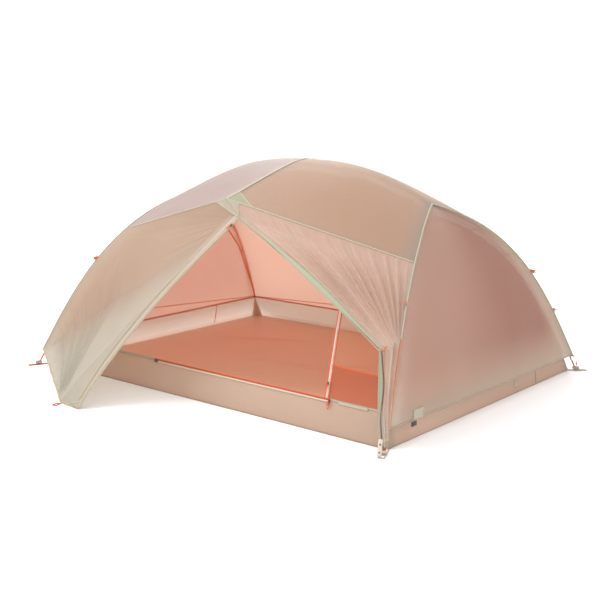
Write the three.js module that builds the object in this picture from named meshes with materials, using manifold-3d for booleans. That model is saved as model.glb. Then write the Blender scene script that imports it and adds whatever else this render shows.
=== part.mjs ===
// A three-person tent on poles: ridge pole with four legs, brow pole, inner tent and rain fly.
// Millimetres, +Z up. The origin is the middle of the floor, on the ground; the front door faces -Y.
// Fabric is drawn as closed shells a few millimetres thick, hung on the pole curves.
import * as THREE from "three";
import Module from "manifold-3d";

const wasm = await Module();
wasm.setup();

// ---- Driving dimensions ----
const FLOOR_LENGTH = 2290;
const FLOOR_WIDTH = 1710;
const TUB_HEIGHT = 140;
const TUB_LEAN_X = 30;
const TUB_LEAN_Y = 52;
const FABRIC = 3;
const SEAM_GAP = 5;

const POLE_RADIUS = 4.75;
const POLE_SIDES = 8;
const POLE_TO_FLY = 13;
const POLE_TO_END = 9;
const HUB_X = 790;
const HUB_Z = 938;
const FOOT_X = 1180;
const FOOT_Y = 880;
const FRONT_LEFT_FOOT = new THREE.Vector3(-1178, -920, 0);
const FRONT_RIGHT_FOOT = new THREE.Vector3(1165, -905, 0);
const LEG_FOOT_SLOPE = THREE.MathUtils.degToRad(61.5);
const LEG_HUB_SLOPE = THREE.MathUtils.degToRad(15);
const LEG_FOOT_HANDLE = 0.375;
const LEG_HUB_HANDLE = 0.41;

const RIDGE_POLE_PEAK = 1110;
const RIDGE_POWER = 2.5;
const FLY_PEAK = 1142;
const BROW_HALF = 620;
const BROW_POLE_HALF = 585;
const BROW_POLE_PEAK = 1127;
const BROW_SLOPE = 0.335;
const BROW_BEND = 120;
const ROOF_SEAM_Z = 728;

const INNER_HUB_X = 752;
const INNER_HUB_Z = 900;
const INNER_PEAK = 1072;
const INNER_BROW_HALF = 548;
const INNER_SEAM_Z = 690;

const DOOR_APEX = new THREE.Vector3(120, -650, 888);
const STAKE_NEAR = new THREE.Vector3(-321, -1323, 6);
const STAKE_FAR = new THREE.Vector3(-474, -1311, 6);
const TIE_POINT = new THREE.Vector3(1075, -806, 412);
const END_HEM_Z = 92;
const FRONT_HEM_Z = 80;

// ---- Materials: one per sub-part, in the colours of the object ----
const COLOURS = {
  fly: 0xcbb197,
  flyEnd: 0xbf9a84,
  inner: 0xdc9a86,
  tub: 0xcdb9a4,
  pole: 0x8d8f90,
  orange: 0xd8532a,
  grey: 0x6e6a66,
  webbing: 0xc46a4c,
};

const part = new THREE.Group();
part.name = "tent_on_poles";

function addNode(name, geometry, colour, roughness = 0.7, metalness = 0) {
  const material = new THREE.MeshStandardMaterial({ color: colour, roughness, metalness });
  const mesh = new THREE.Mesh(geometry, material);
  mesh.name = name;
  part.add(mesh);
  return mesh;
}

// ---- Small helpers ----
const point = (x, y, z) => new THREE.Vector3(x, y, z);
const mix = (a, b, t) => a.clone().lerp(b, t);
const line = (a, b) => (t) => mix(a, b, t);
const reversed = (curve) => (t) => curve(1 - t);
const between = (curve, t0, t1) => (t) => curve(t0 + (t1 - t0) * t);

// Straight stretches joined at a share of the way along, such as a hem with a stake point in it.
function bent(a, corner, b, share) {
  return (t) => (t < share ? mix(a, corner, t / share) : mix(corner, b, (t - share) / (1 - share)));
}

// A line that bows sideways by `bow` at its middle.
function bowed(a, b, bow) {
  return (t) => mix(a, b, t).addScaledVector(bow, 4 * t * (1 - t));
}

// The parameter at which a rising curve reaches a height.
function timeAtHeight(curve, z) {
  let low = 0;
  let high = 1;
  for (let step = 0; step < 40; step++) {
    const middle = (low + high) / 2;
    if (curve(middle).z < z) low = middle;
    else high = middle;
  }
  return (low + high) / 2;
}

// A surface between four boundary curves: bottom and top run along u, left and right along v.
function coons(bottom, top, left, right) {
  const c00 = bottom(0);
  const c10 = bottom(1);
  const c01 = top(0);
  const c11 = top(1);
  return (u, v) => {
    const p = bottom(u).multiplyScalar(1 - v);
    p.addScaledVector(top(u), v);
    p.addScaledVector(left(v), 1 - u);
    p.addScaledVector(right(v), u);
    p.addScaledVector(c00, -(1 - u) * (1 - v));
    p.addScaledVector(c10, -u * (1 - v));
    p.addScaledVector(c01, -(1 - u) * v);
    p.addScaledVector(c11, -u * v);
    return p;
  };
}

function geometryFrom(vertices, triangles) {
  const geometry = new THREE.BufferGeometry();
  geometry.setAttribute("position", new THREE.Float32BufferAttribute(vertices.flatMap((p) => p.toArray()), 3));
  geometry.setIndex(triangles.flat());
  return facingOut(geometry);
}

// Turns every face round when the enclosed volume comes out negative.
function facingOut(geometry) {
  const position = geometry.getAttribute("position");
  const index = geometry.getIndex().array;
  const corner = (i) => new THREE.Vector3().fromBufferAttribute(position, index[i]);
  let volume = 0;
  for (let i = 0; i < index.length; i += 3) {
    volume += corner(i).dot(corner(i + 1).cross(corner(i + 2)));
  }
  if (volume < 0) {
    for (let i = 0; i < index.length; i += 3) {
      [index[i + 1], index[i + 2]] = [index[i + 2], index[i + 1]];
    }
  }
  geometry.computeVertexNormals();
  return geometry;
}

// The unit normal of a surface, taken a little inside its edges so that pinched corners are safe.
function surfaceNormal(surface, u, v) {
  const h = 0.004;
  const a = THREE.MathUtils.clamp(u, 0.03, 0.97);
  const b = THREE.MathUtils.clamp(v, 0.03, 0.97);
  const du = surface(a + h, b).sub(surface(a - h, b));
  const dv = surface(a, b + h).sub(surface(a, b - h));
  return du.cross(dv).normalize();
}

// A fabric panel: a closed shell on a surface. Its edges stay back from the seams by SEAM_GAP,
// `trim` cuts pinched corners away as shares of u and v, and `open(u, v)` leaves cells out.
function panel(surface, across, along, trim = {}, open = () => false) {
  const width = surface(0, 0.5).distanceTo(surface(1, 0.5));
  const height = surface(0.5, 0).distanceTo(surface(0.5, 1));
  const u0 = Math.max(trim.u0 ?? 0, SEAM_GAP / width);
  const u1 = Math.min(trim.u1 ?? 1, 1 - SEAM_GAP / width);
  const v0 = Math.max(trim.v0 ?? 0, SEAM_GAP / height);
  const v1 = Math.min(trim.v1 ?? 1, 1 - SEAM_GAP / height);
  const vertices = [];
  const at = (i, j, side) => (j * (across + 1) + i) * 2 + side;
  for (let j = 0; j <= along; j++) {
    for (let i = 0; i <= across; i++) {
      const u = u0 + ((u1 - u0) * i) / across;
      const v = v0 + ((v1 - v0) * j) / along;
      const p = surface(u, v);
      const n = surfaceNormal(surface, u, v).multiplyScalar(FABRIC / 2);
      vertices.push(p.clone().sub(n), p.clone().add(n));
    }
  }
  const kept = (i, j) =>
    i >= 0 && j >= 0 && i < across && j < along && !open((i + 0.5) / across, (j + 0.5) / along);
  const triangles = [];
  const quad = (a, b, c, d) => triangles.push([a, b, c], [a, c, d]);
  for (let j = 0; j < along; j++) {
    for (let i = 0; i < across; i++) {
      if (!kept(i, j)) continue;
      quad(at(i, j, 1), at(i + 1, j, 1), at(i + 1, j + 1, 1), at(i, j + 1, 1));
      quad(at(i, j, 0), at(i, j + 1, 0), at(i + 1, j + 1, 0), at(i + 1, j, 0));
      if (!kept(i, j - 1)) quad(at(i, j, 0), at(i + 1, j, 0), at(i + 1, j, 1), at(i, j, 1));
      if (!kept(i, j + 1)) quad(at(i + 1, j + 1, 0), at(i, j + 1, 0), at(i, j + 1, 1), at(i + 1, j + 1, 1));
      if (!kept(i - 1, j)) quad(at(i, j + 1, 0), at(i, j, 0), at(i, j, 1), at(i, j + 1, 1));
      if (!kept(i + 1, j)) quad(at(i + 1, j, 0), at(i + 1, j + 1, 0), at(i + 1, j + 1, 1), at(i + 1, j, 1));
    }
  }
  return geometryFrom(vertices, triangles);
}

// ---- Solids with manifold-3d ----
function geometryOf(solid) {
  const mesh = solid.getMesh();
  const geometry = new THREE.BufferGeometry();
  geometry.setAttribute("position", new THREE.BufferAttribute(new Float32Array(mesh.vertProperties), 3));
  geometry.setIndex([...mesh.triVerts]);
  const flat = geometry.toNonIndexed();
  flat.computeVertexNormals();
  return flat;
}

// A round rod from a to b.
function rodSolid(a, b, radius, sides = 16, endRadius = radius) {
  const length = a.distanceTo(b);
  const turn = new THREE.Quaternion().setFromUnitVectors(point(0, 0, 1), b.clone().sub(a).normalize());
  const matrix = new THREE.Matrix4().compose(a, turn, point(1, 1, 1));
  return wasm.Manifold.cylinder(length, radius, endRadius, sides).transform(matrix.toArray());
}

// A box centred on a point, with its own axes: along, side and up.
function boxSolid(centre, along, up, size) {
  const x = along.clone().normalize();
  const y = up.clone().cross(x).normalize();
  const z = x.clone().cross(y);
  const matrix = new THREE.Matrix4().makeBasis(x, y, z).setPosition(centre);
  return wasm.Manifold.cube(size, true).transform(matrix.toArray());
}

// ---- Poles ----
function legCurve(foot, hub, footHandle, hubHandle) {
  const flat = point(hub.x - foot.x, hub.y - foot.y, 0);
  const inward = flat.clone().normalize();
  const chord = foot.distanceTo(hub);
  const rise = (slope) => inward.clone().multiplyScalar(Math.cos(slope)).setZ(Math.sin(slope));
  const bezier = new THREE.CubicBezierCurve3(
    foot,
    foot.clone().addScaledVector(rise(LEG_FOOT_SLOPE), chord * footHandle),
    hub.clone().addScaledVector(rise(LEG_HUB_SLOPE), -chord * hubHandle),
    hub,
  );
  return (t) => bezier.getPoint(t);
}

// The fly's edge over a leg: moved out in the leg's own upright plane, and towards the tent's end.
function flyOverLeg(curve, end) {
  return (t) => {
    const tangent = curve(Math.min(t + 0.002, 1)).sub(curve(Math.max(t - 0.002, 0))).normalize();
    const side = point(-tangent.y, tangent.x, 0).normalize();
    const outward = tangent.clone().cross(side).normalize();
    const towardsEnd = side.multiplyScalar(Math.sign(side.x) * end * POLE_TO_END);
    return curve(t).addScaledVector(outward, POLE_TO_FLY).add(towardsEnd);
  };
}

const CORNERS = {
  front_right: { x: 1, y: -1, foot: FRONT_RIGHT_FOOT },
  back_right: { x: 1, y: 1, foot: point(FOOT_X, FOOT_Y, 0) },
  back_left: { x: -1, y: 1, foot: point(-FOOT_X, FOOT_Y, 0) },
  front_left: { x: -1, y: -1, foot: FRONT_LEFT_FOOT },
};
for (const corner of Object.values(CORNERS)) {
  corner.hub = point(corner.x * HUB_X, 0, HUB_Z);
  corner.leg = legCurve(corner.foot, corner.hub, LEG_FOOT_HANDLE, LEG_HUB_HANDLE);
  corner.fly = flyOverLeg(corner.leg, corner.x);
  const floorCorner = point((corner.x * FLOOR_LENGTH) / 2, (corner.y * FLOOR_WIDTH) / 2, 0);
  corner.floor = floorCorner;
  corner.inner = legCurve(
    point(floorCorner.x - corner.x * 6, floorCorner.y - corner.y * 6, 0),
    point(corner.x * INNER_HUB_X, 0, INNER_HUB_Z),
    0.4,
    0.4,
  );
}

const ridgeHeight = (x, peak, hubX, hubZ) => peak - (peak - hubZ) * Math.abs(x / hubX) ** RIDGE_POWER;
const browHeight = (y, peak) => peak - BROW_SLOPE * (Math.hypot(y, BROW_BEND) - BROW_BEND);
const ridgePole = (x) => point(x, 0, ridgeHeight(x, RIDGE_POLE_PEAK, HUB_X, HUB_Z));
const browPole = (y) => point(0, y, browHeight(y, BROW_POLE_PEAK));

// A pole section: an eight-sided tube along a curve.
function poleSection(curve, steps) {
  const ring = new THREE.Shape().absarc(0, 0, POLE_RADIUS, 0, Math.PI * 2);
  const points = Array.from({ length: steps * 2 + 1 }, (_, i) => curve(i / (steps * 2)));
  const path = new THREE.CatmullRomCurve3(points, false, "centripetal");
  return new THREE.ExtrudeGeometry(ring, {
    steps,
    curveSegments: POLE_SIDES / 2,
    extrudePath: path,
    bevelEnabled: false,
  });
}

const TIP_TOP = 0.05;
const LEG_JOIN = 0.52;
const HUB_ARM = 46;
const TOUCH = 0.0004;

for (const [name, corner] of Object.entries(CORNERS)) {
  const hubEnd = 1 - timeFromEnd(corner.leg, HUB_ARM);
  addNode(
    `leg_pole_${name}_lower`,
    poleSection(between(corner.leg, TIP_TOP + TOUCH, LEG_JOIN - TOUCH), 8),
    COLOURS.pole,
    0.35,
    0.8,
  );
  addNode(
    `leg_pole_${name}_upper`,
    poleSection(between(corner.leg, LEG_JOIN + TOUCH, hubEnd), 8),
    COLOURS.pole,
    0.35,
    0.8,
  );
  addNode(`pole_tip_${name}`, poleTip(corner), COLOURS.orange, 0.5, 0.2);
}

// How far from the curve's end, as a share, a length lies.
function timeFromEnd(curve, length) {
  let t = 1;
  while (curve(t).distanceTo(curve(1)) < length) t -= 0.001;
  return 1 - t;
}

// The tip that stands in the corner clip: a tapered peg under the lowest pole section.
function poleTip(corner) {
  const top = corner.leg(TIP_TOP);
  const bottom = corner.leg(0).setZ(5);
  const peg = rodSolid(bottom, top, 3.5, 12, 5.6);
  return geometryOf(peg);
}

function poleHub(side) {
  const centre = point(side * HUB_X, 0, HUB_Z);
  const arms = Object.values(CORNERS)
    .filter((corner) => corner.x === side)
    .map((corner) => rodSolid(centre, corner.leg(1 - timeFromEnd(corner.leg, HUB_ARM - 2)), 7.2));
  const ridgeEnd = ridgePole(side * (HUB_X - HUB_ARM + 5));
  arms.push(rodSolid(centre, ridgeEnd, 7.2));
  const boss = rodSolid(centre.clone().setZ(HUB_Z - 11), centre.clone().setZ(HUB_Z + 5), 17, 24);
  return geometryOf(wasm.Manifold.union([boss, ...arms]));
}
addNode("pole_hub_head", poleHub(1), COLOURS.grey, 0.5, 0.3);
addNode("pole_hub_foot", poleHub(-1), COLOURS.grey, 0.5, 0.3);

const SLEEVE_HALF = 28;
const SLEEVE_GAP = 1;
for (const [name, side] of [["head", 1], ["foot", -1]]) {
  const start = SLEEVE_HALF + SLEEVE_GAP;
  const end = HUB_X - HUB_ARM + 4.4;
  addNode(
    `ridge_pole_${name}`,
    poleSection((t) => ridgePole(side * (start + (end - start) * t)), 12),
    COLOURS.pole,
    0.35,
    0.8,
  );
}
for (const [name, side] of [["front", -1], ["back", 1]]) {
  const start = SLEEVE_HALF + SLEEVE_GAP;
  addNode(
    `brow_pole_${name}`,
    poleSection((t) => browPole(side * (start + (BROW_POLE_HALF - start) * t)), 10),
    COLOURS.pole,
    0.35,
    0.8,
  );
  const tipStart = browPole(side * (BROW_POLE_HALF + 0.5));
  const tipEnd = browPole(side * (BROW_POLE_HALF + 20));
  addNode(`brow_tip_${name}`, geometryOf(rodSolid(tipStart, tipEnd, 6, 16, 4.5)), COLOURS.orange, 0.5, 0.1);
}
const ridgeSleeve = rodSolid(
  point(-SLEEVE_HALF, 0, RIDGE_POLE_PEAK),
  point(SLEEVE_HALF, 0, RIDGE_POLE_PEAK),
  7.6,
);
addNode("swivel_hub_lower", geometryOf(ridgeSleeve), COLOURS.grey, 0.5, 0.3);
const browSleeve = rodSolid(
  point(0, -SLEEVE_HALF, BROW_POLE_PEAK - 0.6),
  point(0, SLEEVE_HALF, BROW_POLE_PEAK - 0.6),
  7.6,
);
addNode("swivel_hub_upper", geometryOf(browSleeve), COLOURS.grey, 0.5, 0.3);

// ---- Corner hardware: a clip round each pole tip, with webbing to the floor and a stake loop ----
const CLIP_LENGTH = 34;
const WEBBING = 3;
const UP = point(0, 0, 1);
for (const [name, corner] of Object.entries(CORNERS)) {
  const toFloor = corner.floor.clone().sub(corner.foot).setZ(0);
  const reach = toFloor.length();
  toFloor.normalize();
  const tipLow = corner.leg(0).setZ(5);
  const tipHigh = corner.leg(TIP_TOP);
  const clear = rodSolid(tipLow.clone().lerp(tipHigh, -1), tipLow.clone().lerp(tipHigh, 1.4), 7.5);
  const clipCentre = corner.foot.clone().setZ(18);
  const clip = boxSolid(clipCentre, toFloor, UP, [CLIP_LENGTH, 24, 20]).subtract(clear);
  addNode(`corner_clip_${name}`, geometryOf(clip), COLOURS.grey, 0.5, 0.1);
  // The webbing passes under the clip, and its outer end is a loop for the stake.
  const loopCentre = corner.foot.clone().addScaledVector(toFloor, -34).setZ(WEBBING / 2);
  const loopOuter = boxSolid(loopCentre, toFloor, UP, [48, 30, WEBBING]);
  const loopHole = boxSolid(loopCentre, toFloor, UP, [32, 16, WEBBING * 3]);
  const tongueEnd = reach - 4;
  const tongueCentre = corner.foot.clone().addScaledVector(toFloor, (tongueEnd - 12) / 2).setZ(WEBBING / 2);
  const tongue = boxSolid(tongueCentre, toFloor, UP, [tongueEnd + 12, 20, WEBBING]);
  const webbing = loopOuter.subtract(loopHole).add(tongue);
  addNode(`corner_webbing_${name}`, geometryOf(webbing), COLOURS.webbing, 0.9);
}

// ---- Inner tent ----
function tubSolid(inset, base, top) {
  const corners = [];
  for (const [z, back] of [[base, 0], [top, 1]]) {
    for (const x of [-1, 1]) {
      for (const y of [-1, 1]) {
        const halfLength = FLOOR_LENGTH / 2 - inset - back * TUB_LEAN_X;
        const halfWidth = FLOOR_WIDTH / 2 - inset - back * TUB_LEAN_Y;
        corners.push([x * halfLength, y * halfWidth, z]);
      }
    }
  }
  return wasm.Manifold.hull(corners);
}
const tubOutside = tubSolid(0, 0, TUB_HEIGHT);
const tubInside = tubSolid(FABRIC, FABRIC, TUB_HEIGHT + FABRIC);
addNode("bathtub_floor", geometryOf(tubOutside.subtract(tubInside)), COLOURS.tub, 0.75);

// The inner walls stand on the rim of the floor's walls and follow the legs up.
const RIM_Z = TUB_HEIGHT + 3;
const rimX = FLOOR_LENGTH / 2 - TUB_LEAN_X - 2;
const rimY = FLOOR_WIDTH / 2 - TUB_LEAN_Y - 2;
for (const corner of Object.values(CORNERS)) {
  corner.rim = point(corner.x * rimX, corner.y * rimY, RIM_Z);
  const start = timeAtHeight(corner.inner, RIM_Z);
  corner.innerRim = corner.inner(start);
  corner.innerSeamTime = timeAtHeight(corner.inner, INNER_SEAM_Z);
  corner.innerSeam = corner.inner(corner.innerSeamTime);
  corner.wallEdge = (t) => {
    const p = corner.inner(start + (corner.innerSeamTime - start) * t);
    return p.addScaledVector(corner.rim.clone().sub(corner.innerRim), 1 - t);
  };
  corner.endEdge = (t) => {
    const p = corner.inner(start + (0.985 - start) * t);
    return p.addScaledVector(corner.rim.clone().sub(corner.innerRim), 1 - t);
  };
}

const innerBrow = (y) =>
  point(0, y, browHeight(y, INNER_PEAK) + 0.02 * Math.abs(y));
const innerRidge = (x) => point(x, 0, ridgeHeight(x, INNER_PEAK, INNER_HUB_X, INNER_HUB_Z));

function innerEnd(right) {
  const front = right ? CORNERS.front_right : CORNERS.front_left;
  const back = right ? CORNERS.back_right : CORNERS.back_left;
  return coons(
    line(front.rim, back.rim),
    line(front.endEdge(1), back.endEdge(1)),
    front.endEdge,
    back.endEdge,
  );
}
addNode("inner_wall_head", panel(innerEnd(true), 10, 10, { u0: 0.01, u1: 0.99 }), COLOURS.inner, 0.8);
addNode("inner_wall_foot", panel(innerEnd(false), 10, 10, { u0: 0.01, u1: 0.99 }), COLOURS.inner, 0.8);

// A side wall runs from the left leg to the right leg, under the brow end at its top middle.
function innerSide(y) {
  const left = y < 0 ? CORNERS.front_left : CORNERS.back_left;
  const right = y < 0 ? CORNERS.front_right : CORNERS.back_right;
  return coons(
    line(left.rim, right.rim),
    bent(left.innerSeam, innerBrow(y * INNER_BROW_HALF), right.innerSeam, 0.5),
    left.wallEdge,
    right.wallEdge,
  );
}
const DOOR_LEFT = 0.2;
const DOOR_RIGHT = 0.85;
const DOOR_TOP = 0.75;
const doorway = (u, v) => u > DOOR_LEFT && u < DOOR_RIGHT && v < DOOR_TOP;
addNode("inner_wall_front", panel(innerSide(-1), 20, 12, {}, doorway), COLOURS.inner, 0.8);
addNode("inner_wall_back", panel(innerSide(1), 16, 8), COLOURS.inner, 0.8);

// One roof quadrant between the brow, the ridge, a leg's upper stretch and the side seam.
function roofQuadrant(corner, brow, ridge, browHalf, legTop, seamTime, hubX) {
  const browEnd = brow(corner.y * browHalf);
  const seamEnd = legTop(seamTime);
  return coons(
    (u) => brow(corner.y * browHalf * (1 - u)),
    between(legTop, seamTime, 1),
    line(browEnd, seamEnd),
    (v) => ridge(corner.x * hubX * v),
  );
}

// Two quadrants, front and back, as one surface that runs over the ridge.
function roofHalf(front, back) {
  return (u, v) => (v < 0.5 ? front(2 * v, u) : back(2 - 2 * v, u));
}
const innerQuadrant = (corner) =>
  roofQuadrant(
    corner,
    innerBrow,
    innerRidge,
    INNER_BROW_HALF,
    corner.inner,
    corner.innerSeamTime,
    INNER_HUB_X,
  );
const innerHeadRoof = roofHalf(innerQuadrant(CORNERS.front_right), innerQuadrant(CORNERS.back_right));
const innerFootRoof = roofHalf(innerQuadrant(CORNERS.front_left), innerQuadrant(CORNERS.back_left));
addNode("inner_roof_head", panel(innerHeadRoof, 10, 12), COLOURS.inner, 0.8);
addNode("inner_roof_foot", panel(innerFootRoof, 10, 12), COLOURS.inner, 0.8);

// The front inner door is unzipped and rolled up along its left side.
const doorRollBottom = point(-775, -720, 172);
const doorRollTop = point(-725, -585, 520);
const doorRoll = rodSolid(doorRollBottom, doorRollTop, 26, 14, 20);
addNode("inner_door_rolled", geometryOf(doorRoll), COLOURS.inner, 0.85);

// ---- Rain fly ----
const flyBrow = (y) => point(0, y, browHeight(y, FLY_PEAK));
const flyRidge = (x) => point(x, 0, ridgeHeight(x, FLY_PEAK, HUB_X, HUB_Z + POLE_TO_FLY));
for (const corner of Object.values(CORNERS)) {
  const hubTop = point(corner.x * HUB_X, 0, HUB_Z + POLE_TO_FLY);
  const raw = corner.fly;
  // The last stretch closes on the point over the hub, where both legs and the ridge meet.
  corner.fly = (t) => raw(t).addScaledVector(hubTop.clone().sub(raw(1)), Math.max(0, t * 4 - 3));
  corner.seamTime = timeAtHeight(corner.fly, ROOF_SEAM_Z);
  corner.seam = corner.fly(corner.seamTime);
  corner.hemTime = timeAtHeight(corner.fly, END_HEM_Z);
  corner.frontHemTime = timeAtHeight(corner.fly, FRONT_HEM_Z);
}
const flyQuadrant = (corner) =>
  roofQuadrant(corner, flyBrow, flyRidge, BROW_HALF, corner.fly, corner.seamTime, HUB_X);
const headRoof = roofHalf(flyQuadrant(CORNERS.front_right), flyQuadrant(CORNERS.back_right));
const footRoof = roofHalf(flyQuadrant(CORNERS.front_left), flyQuadrant(CORNERS.back_left));
addNode("fly_roof_head", panel(headRoof, 12, 16), COLOURS.fly, 0.65);
addNode("fly_roof_foot", panel(footRoof, 12, 16), COLOURS.fly, 0.65);

function flyEnd(front, back) {
  const outward = point(front.x * 10, 0, 0);
  const hem = bowed(front.fly(front.hemTime), back.fly(back.hemTime), outward);
  const top = 0.965;
  return coons(
    hem,
    line(front.fly(top), back.fly(top)),
    between(front.fly, front.hemTime, top),
    between(back.fly, back.hemTime, top),
  );
}
addNode("fly_end_head", panel(flyEnd(CORNERS.front_right, CORNERS.back_right), 14, 12), COLOURS.flyEnd, 0.65);
addNode("fly_end_foot", panel(flyEnd(CORNERS.front_left, CORNERS.back_left), 14, 12), COLOURS.flyEnd, 0.65);

// Front vestibule, left half: a fixed sliver on the leg, and the flap that folds about one line.
const frontLeft = CORNERS.front_left;
const frontRight = CORNERS.front_right;
const browFront = flyBrow(-BROW_HALF);
const flapHem = frontLeft.fly(frontLeft.frontHemTime);
const foldTop = DOOR_APEX;
const sliver = coons(
  line(frontLeft.seam, browFront),
  line(flapHem, flapHem),
  reversed(between(frontLeft.fly, frontLeft.frontHemTime, frontLeft.seamTime)),
  bent(browFront, foldTop, flapHem, 0.1),
);
addNode("vestibule_front_fixed", panel(sliver, 8, 12, { v1: 0.97 }), COLOURS.fly, 0.65);

const zipBow = point(-70, -12, -14);
const flap = coons(
  line(foldTop, foldTop),
  bent(flapHem, STAKE_FAR, STAKE_NEAR, 0.8),
  line(foldTop, flapHem),
  bowed(foldTop, STAKE_NEAR, zipBow),
);
addNode("vestibule_flap", panel(flap, 12, 12, { v0: 0.05 }), COLOURS.fly, 0.65);

// Front vestibule, right half: unzipped and gathered to the tie on the right leg.
const tieLegTime = timeAtHeight(frontRight.fly, TIE_POINT.z + 25);
const gatheredZip = bowed(DOOR_APEX, TIE_POINT, point(0, 0, 26));
const gathered = coons(
  line(browFront, frontRight.seam),
  line(TIE_POINT, mix(TIE_POINT, frontRight.fly(tieLegTime), 0.3)),
  (v) => (v < 0.1 ? mix(browFront, DOOR_APEX, v / 0.1) : gatheredZip((v - 0.1) / 0.9)),
  reversed(between(frontRight.fly, tieLegTime, frontRight.seamTime)),
);
const gatheredEdge = (v) => mix(frontRight.fly(frontRight.seamTime), TIE_POINT, v);
const gatheredFan = (u, v) => {
  const pull = THREE.MathUtils.smoothstep(v, 0.55, 1) * u;
  return mix(gathered(u, v), gatheredEdge(v), pull * 0.6);
};
addNode("vestibule_gathered", panel(gatheredFan, 14, 12, { v1: 0.97 }), COLOURS.fly, 0.65);

const bundlePath = new THREE.CatmullRomCurve3([
  TIE_POINT.clone().add(point(-4, -6, -16)),
  point(1122, -868, 250),
  point(1160, -938, 52),
]);
const bundleSection = new THREE.Shape().absellipse(0, 0, 16, 27, 0, Math.PI * 2);
addNode(
  "vestibule_bundle",
  new THREE.ExtrudeGeometry(bundleSection, {
    steps: 12,
    curveSegments: 6,
    extrudePath: bundlePath,
    bevelEnabled: false,
  }),
  COLOURS.fly,
  0.7,
);

// Back vestibule: zipped shut. Its zip runs straight from the brow end to the stake point.
const backRight = CORNERS.back_right;
const backLeft = CORNERS.back_left;
const browBack = flyBrow(BROW_HALF);
const backStake = point(-STAKE_NEAR.x, -STAKE_NEAR.y, STAKE_NEAR.z);
const backStakeFar = point(-STAKE_FAR.x, -STAKE_FAR.y, STAKE_FAR.z);
const backHem = (corner) => corner.fly(corner.frontHemTime);
const backRightPanel = coons(
  line(backRight.seam, browBack),
  bent(backHem(backRight), backStakeFar, backStake, 0.8),
  reversed(between(backRight.fly, backRight.frontHemTime, backRight.seamTime)),
  line(browBack, backStake),
);
addNode("vestibule_back_right", panel(backRightPanel, 12, 12), COLOURS.fly, 0.65);
const backLeftPanel = coons(
  line(browBack, backLeft.seam),
  line(backStake, backHem(backLeft)),
  line(browBack, backStake),
  reversed(between(backLeft.fly, backLeft.frontHemTime, backLeft.seamTime)),
);
addNode("vestibule_back_left", panel(backLeftPanel, 14, 12), COLOURS.fly, 0.65);

// ---- Stake loops at the vestibule hems ----
function stakeLoop(stake, away) {
  const centre = stake.clone().addScaledVector(away, 28).setZ(WEBBING / 2);
  const ring = boxSolid(centre, away, UP, [42, 28, WEBBING]);
  const hole = boxSolid(centre, away, UP, [28, 15, WEBBING * 3]);
  return geometryOf(ring.subtract(hole));
}
const frontAway = point(0.25, -1, 0).normalize();
addNode("stake_loop_front", stakeLoop(STAKE_FAR, frontAway), COLOURS.webbing, 0.9);
addNode("stake_loop_back", stakeLoop(backStake, frontAway.clone().negate()), COLOURS.webbing, 0.9);

// ---- Zip sliders and their pulls ----
const SLIDER_SIZE = [16, 9, 5];
const PULL_LENGTH = 34;

// A slider lies on the fabric with its long side on the zip; its pull hangs from a pin on it.
function zipSlider(name, place, along, outward) {
  const centre = place.clone().addScaledVector(outward, 7);
  const body = boxSolid(centre, along, outward, SLIDER_SIZE);
  addNode(`${name}_slider`, geometryOf(body), COLOURS.grey, 0.4, 0.7);
  const hang = centre.clone().addScaledVector(outward, 6);
  const middle = hang.clone().addScaledVector(along, PULL_LENGTH / 2 - 2);
  const tab = boxSolid(middle, along, outward, [PULL_LENGTH, 9, 3]);
  const eye = boxSolid(middle.clone().addScaledVector(along, 5), along, outward, [16, 4.5, 9]);
  addNode(`${name}_pull`, geometryOf(tab.subtract(eye)), COLOURS.orange, 0.8);
}
const zipDown = flap(1, 0.26).sub(flap(1, 0.03)).normalize();
const flapOut = surfaceNormal(flap, 0.9, 0.2);
if (flapOut.y > 0) flapOut.negate();
zipSlider("front_fly_zip", flap(1, 0.04), zipDown, flapOut);

const backZipDown = backStake.clone().sub(browBack).normalize();
const backOut = surfaceNormal(backRightPanel, 0.97, 0.8);
if (backOut.y < 0) backOut.negate();
zipSlider("back_fly_zip", mix(browBack, backStake, 0.9), backZipDown, backOut);

const sillOut = point(0, -1, 0.1).normalize();
const sillSliderPlace = point(800, -FLOOR_WIDTH / 2 + TUB_LEAN_Y - 6, RIM_Z - 10);
zipSlider("inner_sill_zip", sillSliderPlace, point(0, -0.1, -1).normalize(), sillOut);
const jambLow = innerSide(-1)(DOOR_RIGHT, 0.03);
const jambHigh = innerSide(-1)(DOOR_RIGHT, 0.55);
const jambUp = jambHigh.clone().sub(jambLow).normalize();
const jambOut = point(0, -1, 0).addScaledVector(jambUp, jambUp.y).normalize();
const sideSliderPlace = jambLow.clone().addScaledVector(jambUp, 42).addScaledVector(jambOut, 4);
zipSlider("inner_side_zip", sideSliderPlace, jambUp.clone().negate(), jambOut);

// ---- Tie-back: an elastic loop on the leg and its toggle ----
const toggleCentre = TIE_POINT.clone().add(point(38, -34, 18));
const toggleHalf = point(6, 4, 13);
addNode(
  "tieback_toggle",
  geometryOf(rodSolid(toggleCentre.clone().sub(toggleHalf), toggleCentre.clone().add(toggleHalf), 4)),
  COLOURS.orange,
  0.5,
);

export default part;
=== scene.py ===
import math

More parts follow.
